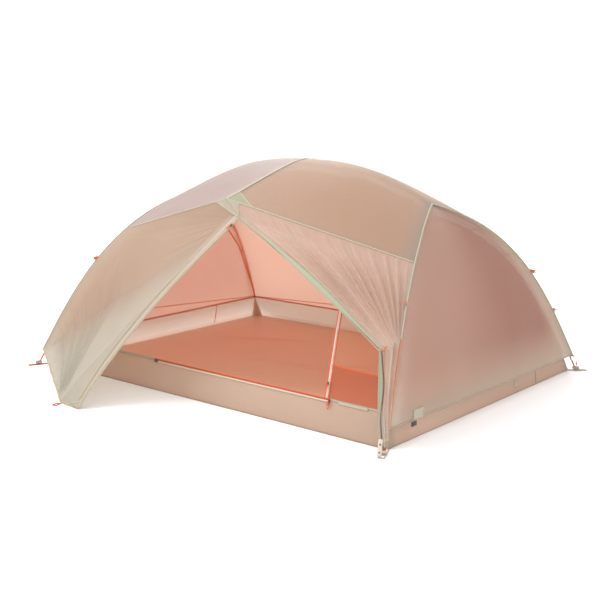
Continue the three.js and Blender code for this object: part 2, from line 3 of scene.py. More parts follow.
import bmesh
import bpy
import numpy as np
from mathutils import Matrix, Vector


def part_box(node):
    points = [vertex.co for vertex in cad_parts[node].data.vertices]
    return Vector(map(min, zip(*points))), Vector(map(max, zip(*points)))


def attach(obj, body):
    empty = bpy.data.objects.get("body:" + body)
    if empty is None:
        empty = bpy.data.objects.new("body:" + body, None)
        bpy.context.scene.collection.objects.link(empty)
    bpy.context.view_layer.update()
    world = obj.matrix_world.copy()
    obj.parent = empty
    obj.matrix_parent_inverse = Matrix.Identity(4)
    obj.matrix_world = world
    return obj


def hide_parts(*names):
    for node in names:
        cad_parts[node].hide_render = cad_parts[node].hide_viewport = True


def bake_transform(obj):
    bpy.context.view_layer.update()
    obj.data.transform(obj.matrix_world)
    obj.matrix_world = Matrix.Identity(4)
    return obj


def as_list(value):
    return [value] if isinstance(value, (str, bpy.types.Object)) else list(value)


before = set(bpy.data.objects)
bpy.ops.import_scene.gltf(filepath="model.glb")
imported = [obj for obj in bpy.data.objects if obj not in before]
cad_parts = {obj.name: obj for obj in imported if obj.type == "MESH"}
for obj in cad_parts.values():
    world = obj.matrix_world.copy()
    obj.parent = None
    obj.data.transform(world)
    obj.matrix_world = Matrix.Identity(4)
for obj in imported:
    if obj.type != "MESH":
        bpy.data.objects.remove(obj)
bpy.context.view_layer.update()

ROOT = "pitched_tent"
FOLD = "flap_fold"
MIDDLE = np.array([0.0, 0.0, 0.35])

# ---------------------------------------------------------------- curves, in metres, as in the CAD


def vec(*p):
    return np.array(p, float)


def unit(a):
    return a / np.maximum(np.linalg.norm(a, axis=-1, keepdims=True), 1e-9)


def mix(a, b, t):
    t = np.asarray(t, float)[..., None]
    return a * (1 - t) + b * t


def straight(a, b):
    return lambda t: mix(a, b, t)


def flipped(curve):
    return lambda t: curve(1 - np.asarray(t, float))


def between(curve, t0, t1):
    return lambda t: curve(t0 + (t1 - t0) * np.asarray(t, float))


def bent(a, corner, b, share):
    def curve(t):
        t = np.asarray(t, float)
        first = mix(a, corner, np.clip(t / share, 0, 1))
        second = mix(corner, b, np.clip((t - share) / (1 - share), 0, 1))
        return np.where((t < share)[..., None], first, second)

    return curve


def bowed(a, b, bow):
    return lambda t: mix(a, b, t) + (4 * np.asarray(t) * (1 - np.asarray(t)))[..., None] * bow


def time_at_height(curve, z):
    low, high = 0.0, 1.0
    for _ in range(40):
        middle = (low + high) / 2
        if curve(middle)[2] < z:
            low = middle
        else:
            high = middle
    return (low + high) / 2


def coons(bottom, top, left, right):
    """A surface between four boundary curves: bottom and top run along u, left and right along v."""
    c00, c10, c01, c11 = bottom(0.0), bottom(1.0), top(0.0), top(1.0)

    def surface(u, v):
        uu, vv = u[..., None], v[..., None]
        sides = (1 - vv) * bottom(u) + vv * top(u) + (1 - uu) * left(v) + uu * right(v)
        corners = (1 - uu) * ((1 - vv) * c00 + vv * c01) + uu * ((1 - vv) * c10 + vv * c11)
        return sides - corners

    return surface


# ---------------------------------------------------------------- the tent's lines

POLE_R = 0.00475
POLE_TO_FLY, POLE_TO_END = 0.013, 0.009
TUB_HEIGHT, TUB_LEAN_X, TUB_LEAN_Y = 0.140, 0.030, 0.052
RIDGE_POWER, BROW_SLOPE, BROW_BEND = 2.5, 0.335, 0.120
BROW_HALF, ROOF_SEAM_Z = 0.620, 0.728
INNER_HUB_X, INNER_HUB_Z, INNER_PEAK = 0.752, 0.900, 1.072
INNER_BROW_HALF, INNER_SEAM_Z = 0.548, 0.690
END_HEM_Z, FRONT_HEM_Z = 0.092, 0.080
DOOR_APEX = vec(0.120, -0.650, 0.888)
STAKE_NEAR = vec(-0.321, -1.323, 0.006)
STAKE_FAR = vec(-0.474, -1.311, 0.006)
TIE_POINT = vec(1.075, -0.806, 0.412)

floor_high = np.array(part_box("bathtub_floor")[1])
FLOOR_X, FLOOR_Y = floor_high[0], floor_high[1]
HUB_X, HUB_Z = 0.790, 0.938
RIDGE_POLE_PEAK, BROW_POLE_PEAK, BROW_POLE_HALF = 1.110, 1.127, 0.585
TIP_TOP, LEG_JOIN, HUB_ARM, SLEEVE_HALF = 0.05, 0.52, 0.046, 0.029
FLY_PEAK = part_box("fly_roof_head")[1][2] - 0.0015

FEET = {
    "front_right": vec(1.165, -0.905, 0),
    "back_right": vec(1.180, 0.880, 0),
    "back_left": vec(-1.180, 0.880, 0),
    "front_left": vec(-1.178, -0.920, 0),
}


def leg_curve(foot, hub, foot_handle, hub_handle):
    inward = unit((hub - foot) * vec(1, 1, 0))
    chord = np.linalg.norm(hub - foot)
    low_slope, high_slope = math.radians(61.5), math.radians(15)
    a = foot + chord * foot_handle * (inward * math.cos(low_slope) + vec(0, 0, math.sin(low_slope)))
    b = hub - chord * hub_handle * (inward * math.cos(high_slope) + vec(0, 0, math.sin(high_slope)))

    def curve(t):
        t = np.asarray(t, float)[..., None]
        return (1 - t) ** 3 * foot + 3 * (1 - t) ** 2 * t * a + 3 * (1 - t) * t**2 * b + t**3 * hub

    return curve


def ridge_height(x, peak, hub_x, hub_z):
    return peak - (peak - hub_z) * np.abs(x / hub_x) ** RIDGE_POWER


def brow_height(y, peak):
    return peak - BROW_SLOPE * (np.hypot(y, BROW_BEND) - BROW_BEND)


def across_x(x, z):
    return np.stack([x, np.zeros_like(x), z], -1)


def across_y(y, z):
    return np.stack([np.zeros_like(y), y, z], -1)


def fly_brow(y):
    return across_y(np.asarray(y, float), brow_height(np.asarray(y, float), FLY_PEAK))


def fly_ridge(x):
    return across_x(np.asarray(x, float),
                    ridge_height(np.asarray(x, float), FLY_PEAK, HUB_X, HUB_Z + POLE_TO_FLY))


def inner_brow(y):
    y = np.asarray(y, float)
    return across_y(y, brow_height(y, INNER_PEAK) + 0.02 * np.abs(y))


def inner_ridge(x):
    return across_x(np.asarray(x, float),
                    ridge_height(np.asarray(x, float), INNER_PEAK, INNER_HUB_X, INNER_HUB_Z))


class Corner:
    """One leg of the tent, with the fly's edge over it and the inner tent's edge under it."""

    def __init__(self, name):
        self.name = name
        self.foot = FEET[name]
        self.x = math.copysign(1, self.foot[0])
        self.y = math.copysign(1, self.foot[1])
        self.hub = vec(self.x * HUB_X, 0, HUB_Z)
        self.leg = leg_curve(self.foot, self.hub, 0.375, 0.41)
        self.floor = vec(self.x * FLOOR_X, self.y * FLOOR_Y, 0)
        inner_foot = self.floor - vec(self.x * 0.006, self.y * 0.006, 0)
        self.inner = leg_curve(inner_foot, vec(self.x * INNER_HUB_X, 0, INNER_HUB_Z), 0.4, 0.4)
        self.seam_time = time_at_height(self.fly, ROOF_SEAM_Z)
        self.hem_time = time_at_height(self.fly, END_HEM_Z)
        self.front_hem_time = time_at_height(self.fly, FRONT_HEM_Z)
        self.inner_seam_time = time_at_height(self.inner, INNER_SEAM_Z)
        self.seam = self.fly(self.seam_time)
        self.hem = self.fly(self.front_hem_time)
        self.rim = vec(
            self.x * (FLOOR_X - TUB_LEAN_X - 0.002),
            self.y * (FLOOR_Y - TUB_LEAN_Y - 0.002),
            TUB_HEIGHT + 0.003,
        )
        self.inner_start = time_at_height(self.inner, self.rim[2])

    def raw_fly(self, t):
        t = np.asarray(t, float)
        tangent = unit(self.leg(np.minimum(t + 0.002, 1)) - self.leg(np.maximum(t - 0.002, 0)))
        side = unit(np.stack([-tangent[..., 1], tangent[..., 0], np.zeros_like(t)], -1))
        outward = unit(np.cross(tangent, side))
        to_end = side * (np.sign(side[..., :1]) * self.x * POLE_TO_END)
        return self.leg(t) + outward * POLE_TO_FLY + to_end

    def fly(self, t):
        t = np.asarray(t, float)
        over_hub = vec(self.x * HUB_X, 0, HUB_Z + POLE_TO_FLY)
        pull = np.maximum(0, t * 4 - 3)[..., None]
        return self.raw_fly(t) + (over_hub - self.raw_fly(1.0)) * pull

    def inner_edge(self, top):
        def curve(t):
            t = np.asarray(t, float)
            p = self.inner(self.inner_start + (top - self.inner_start) * t)
            return p + (self.rim - self.inner(self.inner_start)) * (1 - t)[..., None]

        return curve


CORNERS = {name: Corner(name) for name in FEET}
FR, BR, BL, FL = (CORNERS[n] for n in ("front_right", "back_right", "back_left", "front_left"))


def roof_quadrant(corner, brow, ridge, brow_half, leg, seam_time, hub_x):
    return coons(
        lambda u: brow(corner.y * brow_half * (1 - np.asarray(u))),
        between(leg, seam_time, 1),
        straight(brow(corner.y * brow_half), leg(seam_time)),
        lambda v: ridge(corner.x * hub_x * np.asarray(v)),
    )


def roof_half(front, back):
    return lambda u, v: np.where((v < 0.5)[..., None], front(np.minimum(2 * v, 1), u),
                                 back(np.minimum(2 - 2 * v, 1), u))


def fly_quadrant(c):
    return roof_quadrant(c, fly_brow, fly_ridge, BROW_HALF, c.fly, c.seam_time, HUB_X)


def inner_quadrant(c):
    return roof_quadrant(c, inner_brow, inner_ridge, INNER_BROW_HALF, c.inner, c.inner_seam_time, INNER_HUB_X)


def fly_end(front, back):
    hem = bowed(front.fly(front.hem_time), back.fly(back.hem_time), vec(front.x * 0.010, 0, 0))
    top = 0.998
    return coons(
        hem,
        straight(front.fly(top), back.fly(top)),
        between(front.fly, front.hem_time, top),
        between(back.fly, back.hem_time, top),
    )


def inner_end(front, back):
    a, b = front.inner_edge(0.985), back.inner_edge(0.985)
    return coons(straight(front.rim, back.rim), straight(a(1.0), b(1.0)), a, b)


def inner_side(left, right):
    y = left.y
    a, b = left.inner_edge(left.inner_seam_time), right.inner_edge(right.inner_seam_time)
    top = bent(a(1.0), inner_brow(y * INNER_BROW_HALF), b(1.0), 0.5)
    return coons(straight(left.rim, right.rim), top, a, b)


BROW_FRONT, BROW_BACK = fly_brow(-BROW_HALF), fly_brow(BROW_HALF)
FLAP_ZIP = bowed(DOOR_APEX, STAKE_NEAR, vec(-0.070, -0.012, -0.014))
GATHERED_ZIP = bowed(DOOR_APEX, TIE_POINT, vec(0, 0, 0.026))
TIE_LEG_TIME = time_at_height(FR.fly, TIE_POINT[2] + 0.025)


def apex_then(curve):
    """From the brow end down the closed zip to the doorway's apex, then along a curve."""

    def joined(t):
        t = np.asarray(t, float)
        first = mix(BROW_FRONT, DOOR_APEX, np.clip(t / 0.1, 0, 1))
        second = curve(np.clip((t - 0.1) / 0.9, 0, 1))
        return np.where((t < 0.1)[..., None], first, second)

    return joined


sliver_surface = coons(
    straight(FL.seam, BROW_FRONT),
    straight(FL.hem, FL.hem),
    flipped(between(FL.fly, FL.front_hem_time, FL.seam_time)),
    apex_then(straight(DOOR_APEX, FL.hem)),
)
flap_surface = coons(
    straight(DOOR_APEX, DOOR_APEX),
    bent(FL.hem, STAKE_FAR, STAKE_NEAR, 0.8),
    straight(DOOR_APEX, FL.hem),
    FLAP_ZIP,
)
gathered_base = coons(
    straight(BROW_FRONT, FR.seam),
    straight(TIE_POINT, mix(TIE_POINT, FR.fly(TIE_LEG_TIME), 0.3)),
    apex_then(GATHERED_ZIP),
    flipped(between(FR.fly, TIE_LEG_TIME, FR.seam_time)),
)
BACK_STAKE, BACK_STAKE_FAR = STAKE_NEAR * vec(-1, -1, 1), STAKE_FAR * vec(-1, -1, 1)
back_right_surface = coons(
    straight(BR.seam, BROW_BACK),
    bent(BR.hem, BACK_STAKE_FAR, BACK_STAKE, 0.8),
    flipped(between(BR.fly, BR.front_hem_time, BR.seam_time)),
    straight(BROW_BACK, BACK_STAKE),
)
back_left_surface = coons(
    straight(BROW_BACK, BL.seam),
    straight(BACK_STAKE, BL.hem),
    straight(BROW_BACK, BACK_STAKE),
    flipped(between(BL.fly, BL.front_hem_time, BL.seam_time)),
)

# ---------------------------------------------------------------- materials


def srgb(code, alpha=1.0):
    channels = [int(code[i : i + 2], 16) / 255 for i in (1, 3, 5)]
    linear = [c / 12.92 if c <= 0.04045 else ((c + 0.055) / 1.055) ** 2.4 for c in channels]
    return (*linear, alpha)


class Graph:
    """A node tree with short calls for the nodes that the materials below use."""

    def __init__(self, name):
        self.material = bpy.data.materials.new(name)
        self.material.use_nodes = True
        self.tree = self.material.node_tree
        self.tree.nodes.clear()
        self.output = self.add("ShaderNodeOutputMaterial")

    def add(self, kind, settings=None, **inputs):
        node = self.tree.nodes.new(kind)
        for key, value in (settings or {}).items():
            setattr(node, key, value)
        for key, value in inputs.items():
            self.feed(node.inputs[key.replace("_", " ")], value)
        return node

    def feed(self, socket, value):
        if isinstance(value, bpy.types.NodeSocket):
            self.tree.links.new(value, socket)
        else:
            socket.default_value = value

    def math(self, operation, a, b=0.0, clamp=False):
        node = self.add("ShaderNodeMath", {"operation": operation, "use_clamp": clamp})
        self.feed(node.inputs[0], a)
        self.feed(node.inputs[1], b)
        return node.outputs[0]

    def noise(self, vector, scale, detail=2.0, roughness=0.5):
        node = self.add("ShaderNodeTexNoise", Scale=scale, Detail=detail, Roughness=roughness)
        self.feed(node.inputs["Vector"], vector)
        return node.outputs["Fac"]

    def blend(self, factor, a, b):
        node = self.add("ShaderNodeMix", {"data_type": "RGBA"})
        self.feed(node.inputs[0], factor)
        self.feed(node.inputs[6], a)
        self.feed(node.inputs[7], b)
        return node.outputs[2]

    def bump(self, height, distance, strength=1.0, normal=None):
        node = self.add("ShaderNodeBump", Strength=strength, Distance=distance, Height=height)
        if normal is not None:
            self.feed(node.inputs["Normal"], normal)
        return node.outputs["Normal"]

    def finish(self, shader):
        self.tree.links.new(shader, self.output.inputs["Surface"])
        return self.material


def darker(colour, share):
    return (colour[0] * share, colour[1] * share, colour[2] * share, 1.0)


def panel_mask(g, reach):
    """1 in the middle of a panel and 0 at its edges: how far the change reaches in from left, right,
    bottom, top."""
    panel = g.add("ShaderNodeUVMap", {"uv_map": "panel"}).outputs["UV"]
    split = g.add("ShaderNodeSeparateXYZ", Vector=panel)
    mask = None
    for number, width in enumerate(reach):
        if width <= 0:
            continue
        place = split.outputs["X" if number < 2 else "Y"]
        if number % 2:
            place = g.math("SUBTRACT", 1.0, place)
        step = g.add("ShaderNodeMapRange", {"interpolation_type": "SMOOTHSTEP"}, Value=place)
        step.inputs["From Max"].default_value = width
        mask = step.outputs[0] if mask is None else g.math("MULTIPLY", mask, step.outputs[0])
    return mask


def plane_mask(g, place, direction, start, end):
    """1 before a plane across a direction and 0 past the next one, in the object's own space."""
    split = g.add("ShaderNodeSeparateXYZ", Vector=place)
    run = 0.0
    for axis, share in zip("XYZ", direction):
        run = g.math("ADD", g.math("MULTIPLY", split.outputs[axis], float(share)), run)
    step = g.add("ShaderNodeMapRange", {"interpolation_type": "SMOOTHSTEP"}, Value=run)
    step.inputs["From Min"].default_value = end
    step.inputs["From Max"].default_value = start
    return step.outputs[0]


def far_along_panel(g):
    """0 near a panel's left side, rising to 1 past its middle."""
    panel = g.add("ShaderNodeUVMap", {"uv_map": "panel"}).outputs["UV"]
    split = g.add("ShaderNodeSeparateXYZ", Vector=panel)
    step = g.add("ShaderNodeMapRange", {"interpolation_type": "SMOOTHSTEP"}, Value=split.outputs["X"])
    step.inputs["From Min"].default_value = 0.3
    step.inputs["From Max"].default_value = 0.72
    return step.outputs[0]


def cloth_material(name, code, glow=0.4, through=0.0, lit=None, rough=0.6, sheen=0.25, crinkle=1.0,
                   grid=0.005, edge=None, reach=(0, 0, 0, 0), painted_light_plane=None, shade=None):
    """Thin ripstop cloth: woven threads with a coarser grid, soft crinkles, and light that comes through.
    edge is a painted light: its colour at the panel's edges and past a plane across the cloth. shade is a
    painted shade: its colour far along the panel."""
    g = Graph(name)
    colour = srgb(code)
    lit_colour = srgb(lit or code)
    uv = g.add("ShaderNodeTexCoord").outputs["UV"]
    place = g.add("ShaderNodeTexCoord").outputs["Object"]
    split = g.add("ShaderNodeSeparateXYZ", Vector=uv)
    lines = []
    for axis in ("X", "Y"):
        cell = g.math("FRACT", g.math("DIVIDE", split.outputs[axis], grid))
        lines.append(g.math("LESS_THAN", cell, 0.12))
    thick = g.math("MAXIMUM", lines[0], lines[1])
    threads = g.noise(uv, 900.0, 1.0)
    patches = g.noise(place, 2.3, 3.0)
    crinkles = g.noise(place, 34.0, 5.0, 0.62)
    base, behind_base = colour, lit_colour
    # The edge and shade colours paint light and shade into the cloth by its place on the panel; they are not
    # the nylon's own colour.
    if edge:
        mask = panel_mask(g, reach)
        if painted_light_plane:
            far = plane_mask(g, place, *painted_light_plane)
            mask = far if mask is None else g.math("MULTIPLY", mask, far)
        base = colour
        # Painted shade: the colour darkens far along the panel.
        if shade:
            base = g.blend(far_along_panel(g), colour, srgb(shade))
        base = g.blend(mask, srgb(edge), base)
        behind_base = g.blend(mask, darker(srgb(edge), 1.1), lit_colour)
    tone = g.blend(g.math("MULTIPLY", patches, 0.22), base, darker(colour, 0.72))
    tone = g.blend(g.math("MULTIPLY", thick, 0.22), tone, darker(colour, 1.25))
    tone = g.blend(g.math("MULTIPLY", threads, 0.14), tone, darker(colour, 0.78))
    normal = g.bump(crinkles, 0.0035 * crinkle, 0.5)
    normal = g.bump(g.math("ADD", threads, thick), 0.00035, 0.4, normal)
    front = g.add("ShaderNodeBsdfPrincipled", Base_Color=tone, Roughness=rough, Normal=normal)
    front.inputs["Sheen Weight"].default_value = sheen
    front.inputs["Sheen Roughness"].default_value = 0.4
    front.inputs["Specular IOR Level"].default_value = 0.3
    behind_tone = g.blend(g.math("MULTIPLY", patches, 0.2), behind_base, darker(lit_colour, 0.82))
    behind = g.add("ShaderNodeBsdfTranslucent", Color=behind_tone, Normal=normal)
    shader = g.add("ShaderNodeMixShader")
    shader.inputs[0].default_value = glow
    g.feed(shader.inputs[1], front.outputs[0])
    g.feed(shader.inputs[2], behind.outputs[0])
    if through > 0:
        clear = g.add("ShaderNodeBsdfTransparent", Color=(1, 1, 1, 1))
        open_mix = g.add("ShaderNodeMixShader")
        open_mix.inputs[0].default_value = through
        g.feed(open_mix.inputs[1], shader.outputs[0])
        g.feed(open_mix.inputs[2], clear.outputs[0])
        shader = open_mix
    return g.finish(shader.outputs[0])


def web_material(name, code, pitch=0.0022, rough=0.8):
    """Woven webbing on a solid that has no UVs: crossed ribs in the object's own space."""
    g = Graph(name)
    colour = srgb(code)
    place = g.add("ShaderNodeTexCoord").outputs["Object"]
    split = g.add("ShaderNodeSeparateXYZ", Vector=place)
    across = g.math("DIVIDE",
                    g.math("PINGPONG", g.math("ADD", split.outputs["X"], split.outputs["Y"]), pitch), pitch)
    other = g.math("SUBTRACT", split.outputs["X"], split.outputs["Y"])
    back = g.math("DIVIDE", g.math("PINGPONG", other, pitch), pitch)
    weave = g.math("MULTIPLY", across, back)
    fuzz = g.noise(place, 700.0, 2.0)
    tone = g.blend(weave, darker(colour, 0.7), darker(colour, 1.1))
    tone = g.blend(g.math("MULTIPLY", fuzz, 0.25), tone, darker(colour, 0.8))
    normal = g.bump(g.math("ADD", weave, fuzz), 0.0005, 0.6)
    shader = g.add("ShaderNodeBsdfPrincipled", Base_Color=tone, Roughness=rough, Normal=normal)
    shader.inputs["Sheen Weight"].default_value = 0.3
    return g.finish(shader.outputs[0])


def tape_material(name, code, pitch=0.0016, rough=0.75, stitch=None):
    """Woven tape: fine ribs across it, and a row of stitches near each edge (v runs across, 0 to 1)."""
    g = Graph(name)
    colour = srgb(code)
    uv = g.add("ShaderNodeTexCoord").outputs["UV"]
    place = g.add("ShaderNodeTexCoord").outputs["Object"]
    split = g.add("ShaderNodeSeparateXYZ", Vector=uv)
    ribs = g.math("PINGPONG", split.outputs["X"], pitch)
    ribs = g.math("DIVIDE", ribs, pitch)
    fuzz = g.noise(place, 420.0, 2.0)
    tone = g.blend(g.math("MULTIPLY", ribs, 0.35), darker(colour, 1.04), darker(colour, 0.8))
    tone = g.blend(g.math("MULTIPLY", fuzz, 0.2), tone, darker(colour, 0.88))
    height = g.math("ADD", ribs, fuzz)
    if stitch:
        beat = g.math("LESS_THAN", g.math("FRACT", g.math("DIVIDE", split.outputs["X"], 0.0034)), 0.62)
        edge = g.math("PINGPONG", split.outputs["Y"], 0.5)
        row = g.math("COMPARE", edge, 0.14)
        row.node.inputs[2].default_value = 0.035
        mask = g.math("MULTIPLY", beat, row)
        tone = g.blend(mask, tone, srgb(stitch))
        height = g.math("ADD", height, g.math("MULTIPLY", mask, 1.5))
    normal = g.bump(height, 0.0004, 0.6)
    cloth = g.add("ShaderNodeBsdfPrincipled", Base_Color=tone, Roughness=rough, Normal=normal)
    cloth.inputs["Sheen Weight"].default_value = 0.1
    return g.finish(cloth.outputs[0])


def zip_material(name, code, tape_code):
    """A coil zip: two rows of teeth down the middle of its tape, with painted shade between the teeth."""
    g = Graph(name)
    uv = g.add("ShaderNodeTexCoord").outputs["UV"]
    split = g.add("ShaderNodeSeparateXYZ", Vector=uv)
    side = g.math("GREATER_THAN", split.outputs["Y"], 0.5)
    shifted = g.math("ADD", split.outputs["X"], g.math("MULTIPLY", side, 0.0006))
    tooth = g.math("LESS_THAN", g.math("FRACT", g.math("DIVIDE", shifted, 0.0012)), 0.55)
    middle = g.math("COMPARE", split.outputs["Y"], 0.5)
    middle.node.inputs[2].default_value = 0.3
    mask = g.math("MULTIPLY", tooth, middle)
    fuzz = g.noise(g.add("ShaderNodeTexCoord").outputs["Object"], 300.0, 2.0)
    # Between the teeth the middle band is the coil colour darkened: painted shade in the gaps.
    tone = g.blend(middle, srgb(tape_code), darker(srgb(code), 0.7))
    tone = g.blend(mask, tone, srgb(code))
    tone = g.blend(g.math("MULTIPLY", fuzz, 0.15), tone, darker(srgb(tape_code), 0.8))
    normal = g.bump(g.math("ADD", mask, fuzz), 0.0006, 0.7)
    shader = g.add("ShaderNodeBsdfPrincipled", Base_Color=tone, Roughness=0.5, Normal=normal)
    return g.finish(shader.outputs[0])


def hard_material(name, code, metal=0.0, rough=0.4, grain=60.0, depth=0.0002, coat=0.0):
    """Moulded plastic or metal with a fine grain and a little wear in its gloss."""
    g = Graph(name)
    colour = srgb(code)
    place = g.add("ShaderNodeTexCoord").outputs["Object"]
    wear = g.noise(place, grain, 4.0)
    fine = g.noise(place, grain * 14, 2.0)
    tone = g.blend(wear, darker(colour, 0.88), darker(colour, 1.08))
    roughness = g.add("ShaderNodeMapRange", Value=wear)
    roughness.inputs["To Min"].default_value = max(rough - 0.08, 0.05)
    roughness.inputs["To Max"].default_value = rough + 0.1
    normal = g.bump(fine, depth, 0.35)
    shader = g.add("ShaderNodeBsdfPrincipled", Base_Color=tone, Normal=normal)
    g.feed(shader.inputs["Roughness"], roughness.outputs[0])
    shader.inputs["Metallic"].default_value = metal
    shader.inputs["Coat Weight"].default_value = coat
    return g.finish(shader.outputs[0])


# The door's left half is painted paler past its fold line, towards the zip and the stakes: painted light,
# where that cloth faces the light more.
FOLD_LINE = unit(FL.hem - DOOR_APEX)
FLAP_OUT = unit(np.cross(STAKE_NEAR - DOOR_APEX, FL.hem - DOOR_APEX))
FLAP_OUT = FLAP_OUT if FLAP_OUT[1] < 0 else -FLAP_OUT
FOLD_MIDDLE = mix(DOOR_APEX, FL.hem, 0.5)
FOLD_ACROSS = unit(np.cross(FOLD_LINE, FLAP_OUT))
FOLD_ACROSS = FOLD_ACROSS if FOLD_ACROSS @ (STAKE_FAR - DOOR_APEX) > 0 else -FOLD_ACROSS
FOLD_PLACE = float(FOLD_MIDDLE @ FOLD_ACROSS)
PAINTED_LIGHT_PAST_FOLD = (FOLD_ACROSS, FOLD_PLACE - 0.16, FOLD_PLACE + 0.34)

# fly, fly_foot, fly_end, flap, sliver, gathered and back are one fly nylon in lit and shaded copies: their
# base colours differ by how light falls on each panel, and their paler edge colours are painted light.
M = {
    "fly": cloth_material("fly_nylon", "#a89b86", 0.55, 0.06, "#dfd8c8", 0.48, edge="#b3aca0",
                          reach=(0.05, 0.1, 0, 0)),
    "fly_foot": cloth_material("fly_nylon_pale", "#a5a3a0", 0.55, 0.06, "#d0cdc9", 0.48, edge="#b4b0aa",
                               reach=(0.05, 0.1, 0, 0)),
    "fly_end": cloth_material("fly_nylon_end", "#b49c8e", 0.48, 0.08, "#d4c0b2", 0.48, edge="#c8bcaa",
                              reach=(0, 0.12, 0.2, 0), shade="#8c7064"),
    "flap": cloth_material("fly_nylon_flap", "#9b8b77", 0.5, 0.04, "#cfc3b2", 0.48, edge="#b8b4a5",
                           painted_light_plane=PAINTED_LIGHT_PAST_FOLD),
    "sliver": cloth_material("fly_nylon_fixed", "#a69783", 0.5, 0.04, "#d8cebd", 0.48, edge="#b8b4a5",
                             reach=(0.06, 0, 0, 0), painted_light_plane=PAINTED_LIGHT_PAST_FOLD),
    "gathered": cloth_material("fly_nylon_gathered", "#c0b0a2", 0.5, 0.04, "#f0ded2", 0.36, sheen=0.4),
    "back": cloth_material("fly_nylon_back", "#a89a86", 0.6, 0.12, "#e4dbcb", 0.48, edge="#b5b0a2",
                           reach=(0.12, 0.12, 0, 0.3)),
    "inner": cloth_material("inner_nylon", "#dc9c8a", 0.5, 0.14, "#ffcdba", 0.75, crinkle=0.5),
    "inner_mesh": cloth_material("inner_mesh", "#cf8e6e", 0.4, 0.68, "#e6b090", 0.8, crinkle=0.4,
                                 grid=0.0016),
    "inner_sill": cloth_material("inner_sill_nylon", "#b45636", 0.35, 0.36, "#cc7048", 0.7, crinkle=0.6),
    "tub_out": cloth_material("floor_outside", "#b5aca0", 0.08, 0.0, "#e8cdb4", 0.42, sheen=0.1),
    "floor_in": cloth_material("floor_inside", "#f0bca0", 0.05, 0.0, "#e0a48c", 0.45, sheen=0.1),
    "wall_out": cloth_material("floor_wall_outside", "#b4ac9c", 0.5, 0.0, "#f8efe2", 0.42, sheen=0.1),
    # wall_in is a lighter copy of the floor's inside colour: painted light, for light coming through the
    # walls; deeper in colour towards the floor.
    "wall_in": cloth_material("floor_wall_inside", "#fae0da", 0.56, 0.4, "#fff2f0", 0.5, edge="#eab09c",
                              reach=(0, 0, 0.3, 0), sheen=0.1),
    "seam": tape_material("seam_tape_pale", "#a59b86", stitch="#8b826e"),
    "seam_green": tape_material("seam_tape_green", "#a3a58c", stitch="#84866c"),
    "hem": tape_material("hem_tape", "#a08f7a", stitch="#85755f"),
    "band": tape_material("door_band", "#aca68f", stitch="#8c866f"),
    "facing": tape_material("door_facing", "#a58f80", stitch="#8a6f60", pitch=0.003),
    "salmon": tape_material("leg_binding_salmon", "#c07a5e", stitch="#a0604a"),
    "pale_web": web_material("webbing_pale", "#b8ad98"),
    "green": tape_material("storm_flap_green", "#9c9e86", stitch="#7b8664", pitch=0.0024),
    "green_cloth": cloth_material("patch_green", "#a0a48a", 0.35, 0.0, "#ccd0b4", 0.5),
    "pale_cloth": cloth_material("patch_pale", "#b3ac98", 0.3, 0.0, "#d8d0ba", 0.5),
    "sill_band": tape_material("sill_band_pale", "#c4baa6", stitch="#a69b86"),
    "blank_label": tape_material("blank_label", "#aaa18e"),
    "cream": tape_material("binding_cream", "#b9ae9a", stitch="#978d7a"),
    "pink": tape_material("binding_pink", "#bb9a86", stitch="#9d7d6a", pitch=0.0024),
    "orange": tape_material("binding_orange", "#c8511f", stitch="#d9825a"),
    # A brighter copy of orange for the bindings and seams inside the tent, which lie in shade: painted light.
    "orange_painted_light": tape_material("binding_orange_inner", "#f0804c", stitch="#ffa680"),
    "orange_web": web_material("webbing_orange", "#c8511f"),
    "brown_web": web_material("floor_corner_patch", "#f2d6b4", pitch=0.004),
    "zip_dark": zip_material("zip_dark", "#5a4a3e", "#96604a"),
    "zip_orange": zip_material("zip_orange", "#bd4a22", "#d4602e"),
    "zip_pale": zip_material("zip_pale", "#cfc8bc", "#e4ddd2"),
    "zip_muted": zip_material("zip_muted", "#a39a86", "#b9ad98"),
    "reflective": tape_material("reflective_tape", "#a3a3a0", pitch=0.002, rough=0.25),
    "pole": hard_material("pole_aluminium", "#8e8d8c", metal=0.9, rough=0.28, grain=90.0),
    "ferrule": hard_material("ferrule_aluminium", "#c9cacb", metal=0.95, rough=0.2, grain=120.0),
    "plastic": hard_material("hub_plastic", "#6f6a66", rough=0.42, coat=0.1),
    "clip_plastic": hard_material("clip_plastic", "#94908a", rough=0.45),
    "orange_plastic": hard_material("tip_plastic", "#cf5522", rough=0.4, coat=0.1),
    "dark_tab": tape_material("hem_tab_dark", "#3b3431", pitch=0.002),
    "pale_plastic": hard_material("strap_plastic", "#c9c1b4", rough=0.5),
    "red_rivet": hard_material("rivet_red", "#8f4a38", rough=0.4),
    "slider": hard_material("slider_metal", "#6f6154", metal=0.85, rough=0.35, grain=200.0),
}

# ---------------------------------------------------------------- mesh helpers


def add_object(name, vertices, faces, materials, uvs=None, slots=None, smooth=True, panel=None):
    mesh = bpy.data.meshes.new(name)
    mesh.from_pydata([tuple(map(float, v)) for v in vertices], [], [tuple(int(i) for i in f) for f in faces])
    for material in materials:
        mesh.materials.append(material)
    corner_vertices = np.empty(len(mesh.loops), np.int32)
    mesh.loops.foreach_get("vertex_index", corner_vertices)
    for layer_name, places in (("UVMap", uvs), ("panel", panel)):
        if places is not None:
            layer = mesh.uv_layers.new(name=layer_name)
            layer.data.foreach_set("uv", np.asarray(places, np.float32)[corner_vertices].ravel())
    if slots is not None:
        mesh.polygons.foreach_set("material_index", np.asarray(slots, np.int32))
    mesh.polygons.foreach_set("use_smooth", np.full(len(mesh.polygons), smooth))
    piece = bpy.data.objects.new(name, mesh)
    bpy.context.collection.objects.link(piece)
    return piece


